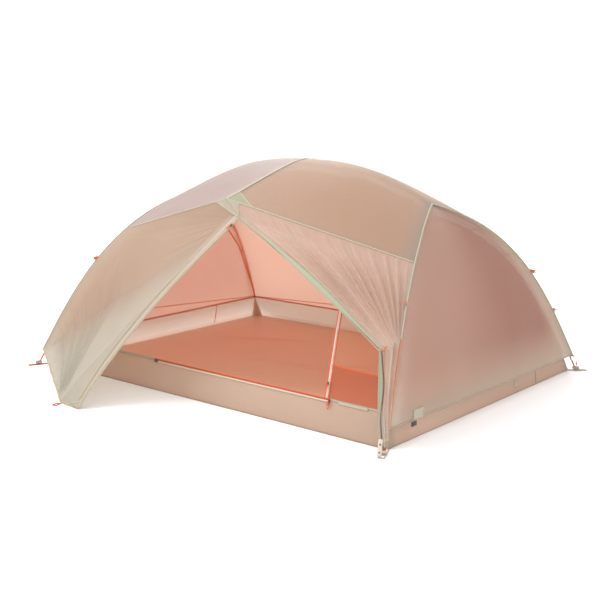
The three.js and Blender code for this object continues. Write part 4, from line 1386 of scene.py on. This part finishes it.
LEFT_JAMB = Sheet(part_of(inner_front, 0, DOOR_LEFT, 0, DOOR_TOP), 20, 50)
RIGHT_JAMB = Sheet(part_of(inner_front, DOOR_RIGHT, 1, SILL_PANEL, DOOR_TOP), 20, 40)
SILL_JAMB = Sheet(part_of(inner_front, DOOR_RIGHT, 1, 0, SILL_PANEL), 20, 16)
HEADER = Sheet(part_of(inner_front, 0, 1, DOOR_TOP, 1), 100, 16)
cloth("inner_wall_front_cloth", [LEFT_JAMB, RIGHT_JAMB, HEADER], M["inner_mesh"], "inner_fabric", ROOT,
      "hung", leg_poles("front_left", "front_right"), ["inner_wall_front"])
cloth("inner_wall_front_sill_cloth", SILL_JAMB, M["inner_sill"], "inner_fabric", ROOT, "hung",
      leg_poles("front_right"))
tape("sill_panel_seam", SILL_JAMB, "top", 0.007, M["orange"], ROOT, lift=0.0005)

for corner in CORNERS.values():
    edge = corner.inner_edge(0.985)(np.linspace(0, 1, 60))
    outward = unit((edge - vec(0, 0, 0.2)) * vec(1, 1, 0.6))
    ribbon(f"inner_leg_binding_{corner.name}", edge, outward, 0.016, 0.002, M["orange_painted_light"],
           ROOT, -0.001)

# Seams on the inside of the inner tent: a second line beside each leg of the foot end, and a low one above
# the rim.
foot_wall, back_wall = inner_end(FL, BL), inner_side(BL, BR)
seam_v = np.linspace(0, 0.68, 50)
for name, side in (("back", 1), ("front", -1)):
    offset = np.interp(seam_v, (0, 0.14, 0.383, 0.574, 0.68), (0.0, 0.01, 0.025, 0.078, 0.104))
    line = foot_wall(1 - offset if side > 0 else offset, seam_v) + vec(0.003, 0, 0)
    ribbon(f"inner_foot_seam_{name}", line, np.tile(vec(-1, 0, 0.4), (50, 1)), 0.009, 0.002,
           M["orange_painted_light"], ROOT)
low_t = np.linspace(0, 1, 50)
low_foot = foot_wall(1 - 0.85 * low_t, 0.004 + 0.085 * low_t) + vec(0.003, 0, 0)
low_back = back_wall(0.95 * low_t, 0.004 + 0.13 * low_t * (1 - 0.5 * low_t)) + vec(0, -0.003, 0)
for name, line, out_way in (("foot", low_foot, vec(-1, 0, 0.4)), ("back", low_back, vec(0, 1, 0.4))):
    ribbon(f"inner_low_seam_{name}", line, np.tile(out_way, (50, 1)), 0.005, 0.0012, M["orange_painted_light"],
           ROOT)
loop_z = np.linspace(TUB_HEIGHT, 0.02, 16)
gear_loop = np.stack([-(FLOOR_X - TUB_LEAN_X * loop_z / TUB_HEIGHT) + 0.007, 0.43 + 0 * loop_z, loop_z], -1)
ribbon("gear_loop", gear_loop, np.tile(vec(1, 0, 0.2), (16, 1)), 0.005, 0.0016, M["orange_painted_light"],
       ROOT)

# The doorway's zips: a pale coil between dark and orange edges at the side, and an orange one along the sill.
door_heights = np.linspace(0, DOOR_TOP, 60)
jamb = inner_front(np.full(60, DOOR_RIGHT), door_heights) + vec(0, -0.002, 0)
jamb_out = np.tile(vec(0, -1, 0.2), (60, 1))
# It runs straight where its slider travels.
run_low, run_high = jamb[np.searchsorted(door_heights, 0.03)], jamb[np.searchsorted(door_heights, 0.55)]
run_up = unit(run_high - run_low)
bulge = jamb - run_low - ((jamb - run_low) @ run_up)[:, None] * run_up
jamb = jamb - bulge * (1 - smoothstep(door_heights, 0.5, 0.7))[:, None]
ribbon("side_zip_coil", jamb, jamb_out, 0.011, 0.0025, M["zip_pale"], ROOT, lift=0.001)
ribbon("side_zip_binding", jamb, jamb_out, 0.009, 0.002, M["orange"], ROOT, lift=0.0,
       shift=0.009)
ribbon("side_zip_binding_outer", jamb, jamb_out, 0.007, 0.002, M["orange"], ROOT,
       shift=-0.008)
arch = inner_front(np.linspace(DOOR_LEFT, DOOR_RIGHT, 60), np.full(60, DOOR_TOP)) + vec(0, -0.002, 0)
ribbon("door_arch_binding", arch, jamb_out, 0.010, 0.002, M["orange"], ROOT)
left_jamb = inner_front(np.full(60, DOOR_LEFT), door_heights) + vec(0, -0.002, 0)
ribbon("door_left_binding", left_jamb, jamb_out, 0.010, 0.002, M["orange"], ROOT)

SILL_LEFT, SILL_RIGHT = -0.33, 0.80
sill_x = np.linspace(SILL_LEFT, SILL_RIGHT, 90)
sill_y, sill_z = -(FLOOR_Y - TUB_LEAN_Y), TUB_HEIGHT
sill = np.stack([sill_x, np.full(90, sill_y - 0.002), np.full(90, sill_z + 0.003)], -1)
sill_out = np.tile(vec(0, -1, 0.35), (90, 1))
ribbon("sill_zip_coil", sill, sill_out, 0.010, 0.003, M["zip_orange"], ROOT, lift=0.001)
ribbon("sill_cream_band", sill + vec(0, -0.003, -0.008), sill_out, 0.008, 0.0012, M["sill_band"],
       ROOT, lift=0.002)
ribbon("sill_zip_end", sill[:3] + vec(-0.012, -0.002, -0.004), sill_out[:3], 0.020, 0.004, M["zip_dark"],
       ROOT, lift=0.001)
patch_x = np.linspace(0.850, 1.010, 24)
patch_line = np.stack([patch_x, np.full(24, sill_y - 0.003), np.full(24, sill_z - 0.003)], -1)
ribbon("sill_label_blank", patch_line, np.tile(vec(0, -1, 0.35), (24, 1)), 0.012, 0.001, M["blank_label"],
       ROOT, lift=0.002)

# On the head wall: a small blank loop and a short seam.
for name, place_y, low_z, high_z, wide, look in (
    ("loop", 0.270, 0.030, 0.062, 0.030, "blank_label"),
    ("seam", 0.480, 0.012, 0.070, 0.007, "hem"),
):
    detail_z = np.linspace(low_z, high_z, 10)
    detail_y = place_y + 0.010 * np.sin(np.linspace(0, math.pi / 2, 10))
    detail = np.stack([FLOOR_X - TUB_LEAN_X * detail_z / TUB_HEIGHT + 0.003, detail_y, detail_z], -1)
    ribbon(f"head_wall_{name}", detail, np.tile(vec(1, 0, 0.2), (10, 1)), wide, 0.0012, M[look],
           ROOT)

# A blank square patch on the head end's hem, and a small dark tab under it.
SQUARE = Sheet(part_of(fly_end(FR, BR), 0.100, 0.144, 0.002, 0.036), 10, 8)
SQUARE.points = SQUARE.points + SQUARE.normal * 0.005
fixed(build_cloth("hem_square_blank", [SQUARE], [M["blank_label"]]), ROOT)
tab_z = np.linspace(0.095, 0.074, 8)
tab_place = np.stack([np.full(8, 1.176), np.full(8, -0.702), tab_z], -1)
ribbon("hem_tab", tab_place, np.tile(vec(1, 0, 0.1), (8, 1)), 0.044, 0.0014, M["dark_tab"], ROOT)

# ---------------------------------------------------------------- rolled inner door and its ties

roll_line = bowed(vec(-0.775, -0.720, 0.172), vec(-0.725, -0.585, 0.520), vec(0.0, -0.008, -0.004))


def roll_surface(u, v):
    """A spiral of cloth: u winds it round, v runs along the roll."""
    line = roll_line(v)
    along = unit(roll_line(1.0) - roll_line(0.0))
    side = unit(np.cross(along, vec(0, 0, 1)))
    up = np.cross(side, along)
    turn = 2 * math.pi * 4.2 * u
    radius = (0.005 + 0.018 * u) * (1 - 0.12 * v)
    radius = radius + 0.0012 * np.sin(3 * turn / 4.2 + 9 * v)
    return line + side * (np.cos(turn) * radius)[..., None] + up * (np.sin(turn) * radius)[..., None]


ROLL = Sheet(roll_surface, 150, 40)
cloth("inner_door_rolled_cloth", ROLL, M["inner"], "inner_fabric", ROOT, "folded", ["bathtub_floor"],
      ["inner_door_rolled"])
for number, share in enumerate((0.25, 0.75)):
    centre = roll_line(share)
    axis = unit(roll_line(1.0) - roll_line(0.0))
    side = unit(np.cross(axis, vec(0, 0, 1)))
    up = np.cross(side, axis)
    turns = np.linspace(0, 2 * math.pi, 37)
    ring = centre + 0.0255 * (np.cos(turns)[:, None] * side + np.sin(turns)[:, None] * up)
    ribbon(f"roll_tie_{number}", ring, unit(ring - centre), 0.010, 0.0015, M["orange"], ROOT)

# ---------------------------------------------------------------- poles, ferrules and hubs


def ridge_pole(x):
    return across_x(np.asarray(x, float), ridge_height(np.asarray(x, float), RIDGE_POLE_PEAK, HUB_X, HUB_Z))


def brow_pole(y):
    return across_y(np.asarray(y, float), brow_height(np.asarray(y, float), BROW_POLE_PEAK))


def time_before_end(curve, length):
    t = 1.0
    while np.linalg.norm(curve(t) - curve(1.0)) < length:
        t -= 0.001
    return t


def pole(name, curve, start, end, joints):
    """A pole in place of its CAD solid, with a ferrule sleeve at each joint between its sections."""
    t = np.linspace(start, end, 70)
    piece = tube(f"{name}_tube", curve(t), POLE_R, M["pole"], ROOT, sides=18)
    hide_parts(name)
    for number, joint in enumerate(joints):
        length = np.linalg.norm(curve(end) - curve(start))
        half = 0.016 / length * abs(end - start)
        sleeve = curve(np.linspace(joint - half, joint + half, 9))
        radii = POLE_R + 0.0011 * np.array([0, 1, 1, 1, 0.7, 1, 1, 1, 0])
        tube(f"{name}_ferrule_{number}", sleeve, radii, M["ferrule"], ROOT, sides=18)


for corner in CORNERS.values():
    hub_end = time_before_end(corner.leg, HUB_ARM)
    pole(f"leg_pole_{corner.name}_lower", corner.leg, TIP_TOP + 0.0004, LEG_JOIN - 0.0004, (0.28,))
    pole(f"leg_pole_{corner.name}_upper", corner.leg, LEG_JOIN + 0.0004, hub_end, (LEG_JOIN + 0.012, 0.76))
ridge_end = HUB_X - HUB_ARM + 0.0044
for name, sign in (("head", 1), ("foot", -1)):
    pole(f"ridge_pole_{name}", ridge_pole, sign * SLEEVE_HALF, sign * ridge_end, (sign * 0.4,))
for name, sign in (("front", -1), ("back", 1)):
    pole(f"brow_pole_{name}", brow_pole, sign * SLEEVE_HALF, sign * BROW_POLE_HALF, (sign * 0.3,))

# The inner tent hangs from the poles by short straps with a hook.
for corner in CORNERS.values():
    for number, t in enumerate((0.24, 0.42, 0.60, 0.78)):
        hang = corner.leg(t)
        inner_t = time_at_height(corner.inner, hang[2] - 0.012)
        root_point = corner.inner(inner_t)
        towards = unit(hang - root_point)
        tangent = unit(corner.leg(t + 0.01) - corner.leg(t - 0.01))
        strap = mix(root_point, hang - towards * 0.010, np.linspace(0, 1, 6))
        ribbon(f"inner_clip_strap_{corner.name}_{number}", strap,
               np.cross(tangent, towards) + np.zeros((6, 3)), 0.012, 0.0015, M["orange"], ROOT)
        axis, across, up = square_axes(tangent, towards)
        turns = np.linspace(-2.4, 2.4, 17)
        hook = hang + (np.sin(turns)[:, None] * across - np.cos(turns)[:, None] * up) * 0.0072
        tube(f"inner_clip_{corner.name}_{number}", hook, 0.0021, M["clip_plastic"], ROOT, sides=8)

# ---------------------------------------------------------------- corner hardware

for corner in CORNERS.values():
    to_floor = unit((corner.floor - corner.foot) * vec(1, 1, 0))
    across = np.cross(vec(0, 0, 1), to_floor)
    axes = (to_floor, across, (0, 0, 1))
    centre = corner.foot + vec(0, 0, 0.0145)
    look = M["pale_plastic"] if corner is FR else M["clip_plastic"]
    parts = [block("sole", centre + vec(0, 0, -0.0047), axes, (0.034, 0.022, 0.0036), look, 0.0014)]
    for sign in (-1, 1):
        parts.append(block("rail", centre + across * sign * 0.0098, axes, (0.034, 0.0044, 0.012), look,
                           0.0015))
    parts.append(block("inner_bar", centre + to_floor * 0.0142, axes, (0.005, 0.020, 0.008), look, 0.0015))
    parts.append(block("outer_bar", centre - to_floor * 0.0142, axes, (0.005, 0.020, 0.009), look, 0.0015))
    buckle = join(f"corner_clip_{corner.name}_buckle", parts)
    fixed(buckle, ROOT)
    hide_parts(f"corner_clip_{corner.name}")
    # A strap from the clip up to the fly's corner, with its grommet tab.
    hem = corner.fly(corner.hem_time)
    start = corner.foot + vec(0, 0, 0.030)
    strap = bowed(start, hem, unit(corner.foot * vec(1, 1, 0)) * 0.012)(np.linspace(0, 1, 16))
    outward = np.tile(unit(corner.foot * vec(1, 1, 0) + vec(0, 0, 0.4)), (16, 1))
    look = "seam" if corner is FR else "orange"
    ribbon(f"corner_strap_{corner.name}", strap, outward, 0.014, 0.0018, M[look], ROOT)
    # A rounded tip sleeve over the CAD tip's upper end.
    collar = corner.leg(np.linspace(TIP_TOP - 0.006, TIP_TOP + 0.006, 7))
    tube(f"tip_collar_{corner.name}", collar, POLE_R + 0.0016 * np.array([0.2, 1, 1, 0.8, 1, 1, 0.2]),
         M["ferrule"], ROOT, sides=18)

# The white tab with two rivets that hangs at the near corner.
tab_top, tab_low = BUNDLE_LOW + vec(0, 0, 0.018), vec(1.172, -0.944, 0.004)
tab_line = straight(tab_top + vec(0.002, -0.008, 0.03),
                    tab_low + vec(0.004, -0.014, 0.0))(np.linspace(0, 1, 12))
tab_out = np.tile(vec(0.35, -0.9, 0.25), (12, 1))
ribbon("corner_tab", tab_line, tab_out, 0.019, 0.0016, M["pale_plastic"], ROOT)
for number, share in enumerate((0.3, 0.75)):
    axis = unit(tab_out[0])
    centre = mix(tab_line[0], tab_line[-1], share)
    rivet = centre + np.linspace(-0.001, 0.004, 6)[:, None] * axis
    tube(f"corner_tab_rivet_{number}", rivet, 0.0045 * np.array([1, 1, 1, 0.95, 0.7, 0.2]),
         M["red_rivet" if number else "slider"], ROOT)

# ---------------------------------------------------------------- guy-out loops on the legs


def guy_out(name, corner, height, size=0.030):
    t = time_at_height(corner.fly, height)
    base = corner.fly(t)
    away = unit(corner.fly(t) - corner.leg(t) + vec(corner.x * 0.004, corner.y * 0.004, 0))
    up = unit(corner.fly(t + 0.01) - corner.fly(t - 0.01))
    outward = unit(0.62 * away - 0.78 * up)
    tangent = unit(up - outward * (up @ outward))
    side = np.cross(tangent, outward)
    turns = np.linspace(-0.5, math.pi + 0.5, 19)
    loop = base + outward * 0.003
    loop = loop + (np.sin(turns) + 0.48)[:, None] * outward * size * 0.5
    loop = loop + np.cos(turns)[:, None] * side * 0.005
    normals = unit(np.cos(turns)[:, None] * side + 0.35 * np.sin(turns)[:, None] * outward)
    ribbon(f"guy_loop_{name}", loop, normals, 0.013, 0.0014, M["orange"], ROOT)
    tip = base + outward * (size * 0.74 + 0.006)
    parts = []
    for shift in (-0.0078, 0.0078):
        parts.append(block("rail", tip + tangent * shift, (outward, tangent, side), (0.018, 0.0034, 0.0055),
                           M["clip_plastic"], 0.001))
    for shift in (-0.0075, 0.0, 0.0075):
        parts.append(block("bar", tip + outward * shift, (outward, tangent, side), (0.0034, 0.016, 0.004),
                           M["clip_plastic"], 0.001))
    fixed(join(f"guy_buckle_{name}", parts), ROOT)


for corner in CORNERS.values():
    guy_out(corner.name, corner, 0.58)
guy_out("back_right_low", BR, 0.36, 0.012)

# ---------------------------------------------------------------- zip sliders and pulls

SLIDER_LENGTH, PULL_LENGTH = 0.016, 0.034


def zip_pull(name, place, along, outward):
    """A slider with its bridge, and a cord loop for a pull, in place of the two CAD solids."""
    along, across, outward = square_axes(along, outward)
    centre = place + outward * 0.007
    axes = (along, across, outward)
    parts = [
        block("wing", centre - outward * 0.0013, axes, (SLIDER_LENGTH, 0.009, 0.0018), M["slider"], 0.0008,
              taper=0.75),
        block("top", centre + outward * 0.0013, axes, (SLIDER_LENGTH, 0.009, 0.0018), M["slider"], 0.0008,
              taper=0.75),
        block("post", centre - along * 0.006, axes, (0.003, 0.003, 0.0036), M["slider"], 0.0006),
    ]
    turns = np.linspace(0, math.pi, 11)
    bridge = centre + outward * 0.002 + np.cos(turns)[:, None] * along * 0.0055
    bridge = bridge + np.sin(turns)[:, None] * outward * 0.004
    fixed_bridge = tube("bridge", bridge, 0.0011, M["slider"], None, sides=8)
    parts.append(fixed_bridge)
    slider = join(f"{name}_slider_metal", parts)
    fixed(slider, f"{name}_slider")
    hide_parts(f"{name}_slider")
    hang = centre + outward * 0.006
    low = hang + along * (PULL_LENGTH - 0.002)
    turns = np.linspace(0, 2 * math.pi, 33)[:-1]
    middle = mix(hang, low, 0.5)
    loop = middle + np.cos(turns)[:, None] * along * (PULL_LENGTH / 2 - 0.002) + (
        np.sin(turns) * (0.0052 - 0.0026 * np.cos(turns)))[:, None] * across
    cord = tube("cord", loop, 0.0014, M["orange_plastic"], None, sides=8, closed=True)
    grip = block("grip", mix(hang, low, 0.30), axes, (0.010, 0.0075, 0.0042), M["orange_plastic"], 0.0014)
    pull = join(f"{name}_pull_cord", [cord, grip])
    fixed(pull, f"{name}_pull")
    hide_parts(f"{name}_pull")


def at(surface, u, v):
    return surface(np.array(float(u)), np.array(float(v)))


def normal_at(surface, u, v, step=0.002):
    du = at(surface, u + step, v) - at(surface, u - step, v)
    dv = at(surface, u, v + step) - at(surface, u, v - step)
    return unit(np.cross(du, dv))


flap_out = normal_at(flap_surface, 0.9, 0.2)
flap_out = flap_out if flap_out[1] < 0 else -flap_out
zip_pull("front_fly_zip", at(flap_surface, 1, 0.04), at(flap_surface, 1, 0.26) - at(flap_surface, 1, 0.03),
         flap_out)
back_out = normal_at(back_right_surface, 0.97, 0.8)
back_out = back_out if back_out[1] > 0 else -back_out
zip_pull("back_fly_zip", mix(BROW_BACK, BACK_STAKE, 0.9), BACK_STAKE - BROW_BACK, back_out)
SILL_OUT = unit(vec(0, -1, 0.1))
zip_pull("inner_sill_zip", vec(SILL_RIGHT, -FLOOR_Y + TUB_LEAN_Y - 0.006, TUB_HEIGHT - 0.007),
         vec(0, -0.1, -1), SILL_OUT)
jamb_low, jamb_high = at(inner_front, DOOR_RIGHT, 0.03), at(inner_front, DOOR_RIGHT, 0.55)
jamb_up = unit(jamb_high - jamb_low)
jamb_outward = unit(vec(0, -1, 0) + jamb_up * jamb_up[1])
zip_pull("inner_side_zip", jamb_low + jamb_up * 0.042 + jamb_outward * 0.004, -jamb_up, jamb_outward)

# ---------------------------------------------------------------- tie-back: elastic loop and barrel toggle

toggle_centre = TIE_POINT + vec(0.038, -0.034, 0.018)
toggle_axis = vec(0.006, 0.004, 0.013)
barrel = toggle_centre + np.linspace(-1.08, 1.08, 15)[:, None] * toggle_axis
barrel_radius = 0.004 * np.array([0.35, 0.8, 1.0, 1.06, 1.06, 1.0, 0.8, 0.72, 0.8, 1.0, 1.06, 1.06, 1.0,
                                  0.8, 0.35])
toggle = tube("tieback_toggle_barrel", barrel, barrel_radius, M["orange_plastic"],
              "tieback_toggle", sides=18)
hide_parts("tieback_toggle")
leg_anchor = FR.fly(TIE_LEG_TIME) + vec(0.002, -0.004, 0)
for number, drop in enumerate((0.006, -0.006)):
    sag = vec(0.010, -0.010, drop * 0.5)
    loop = bowed(leg_anchor + vec(0, 0, drop * 0.4), toggle_centre + vec(0, 0.0045, drop * 0.3),
                 sag)(np.linspace(0, 1, 24))
    tube(f"tieback_elastic_{number}", loop, 0.0013, M["green"], ROOT, sides=8)
wrap_t = np.linspace(0, 2 * math.pi, 40)
wrap_across, wrap_deep = unit(vec(0.75, 0.2, 0.0)), unit(vec(-0.2, -0.75, 0.1))
wrap = TIE_POINT + vec(0.010, -0.004, 0.004) + 0.016 * np.cos(wrap_t)[:, None] * wrap_across
wrap = wrap + 0.020 * np.sin(wrap_t)[:, None] * wrap_deep
ribbon("tieback_band", wrap, unit(wrap - TIE_POINT), 0.005, 0.002, M["green"], ROOT)

# ---------------------------------------------------------------- looks of the CAD nodes that stay

CAD_LOOKS = (
    ("pole_tip_", "orange_plastic"),
    ("brow_tip_", "orange_plastic"),
    ("pole_hub_", "plastic"),
    ("swivel_hub_", "plastic"),
    ("corner_webbing_front_right", "pale_web"),
    ("corner_webbing_back_right", "pale_web"),
    ("corner_webbing_", "orange_web"),
    ("stake_loop_", "orange_web"),
)
for node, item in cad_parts.items():
    look = next((look for start, look in CAD_LOOKS if node.startswith(start)), "clip_plastic")
    for material_slot in item.material_slots:
        material_slot.material = M[look]

# ---------------------------------------------------------------- camera, light and floor

camera_data = bpy.data.cameras.new("camera")
camera = bpy.data.objects.new("camera", camera_data)
bpy.context.collection.objects.link(camera)
CAMERA_TARGET = Vector((0.056, -0.123, 0.4))
CAMERA_AZIMUTH, CAMERA_ELEVATION, CAMERA_DISTANCE = math.radians(39.85), math.radians(10.95), 5.50
back = Vector((
    math.sin(CAMERA_AZIMUTH) * math.cos(CAMERA_ELEVATION),
    -math.cos(CAMERA_AZIMUTH) * math.cos(CAMERA_ELEVATION),
    math.sin(CAMERA_ELEVATION),
))
camera.location = CAMERA_TARGET + back * CAMERA_DISTANCE
camera.rotation_euler = back.to_track_quat("Z", "Y").to_euler()
camera_data.lens = 61.8
camera_data.sensor_width = 36.0
bpy.context.scene.camera = camera

world = bpy.data.worlds.new("studio")
world.use_nodes = True
world.node_tree.nodes["Background"].inputs[0].default_value = (1.0, 1.0, 1.0, 1.0)
world.node_tree.nodes["Background"].inputs[1].default_value = 1.3
bpy.context.scene.world = world
bpy.context.scene.view_settings.view_transform = "Standard"


def area_light(name, place, target, size, power):
    data = bpy.data.lights.new(name, "AREA")
    data.size = size
    data.energy = power
    light = bpy.data.objects.new(name, data)
    light.location = place
    light.rotation_euler = (Vector(place) - Vector(target)).to_track_quat("Z", "Y").to_euler()
    bpy.context.collection.objects.link(light)


area_light("key_light", (-2.8, -2.2, 4.5), (0, 0, 0.4), 3.5, 215)
area_light("back_light", (-2.6, 3.8, 3.6), (0, 0, 0.5), 3.5, 190)


floor_mesh = bpy.data.meshes.new("studio_floor")
floor_mesh.from_pydata([(-40, -40, -0.001), (40, -40, -0.001), (40, 40, -0.001), (-40, 40, -0.001)], [],
                       [(0, 1, 2, 3)])
floor = bpy.data.objects.new("studio_floor", floor_mesh)
bpy.context.collection.objects.link(floor)
floor_graph = Graph("studio_floor")
floor_shader = floor_graph.add("ShaderNodeBsdfPrincipled", Base_Color=(0.93, 0.93, 0.93, 1), Roughness=0.9)
floor_mesh.materials.append(floor_graph.finish(floor_shader.outputs[0]))
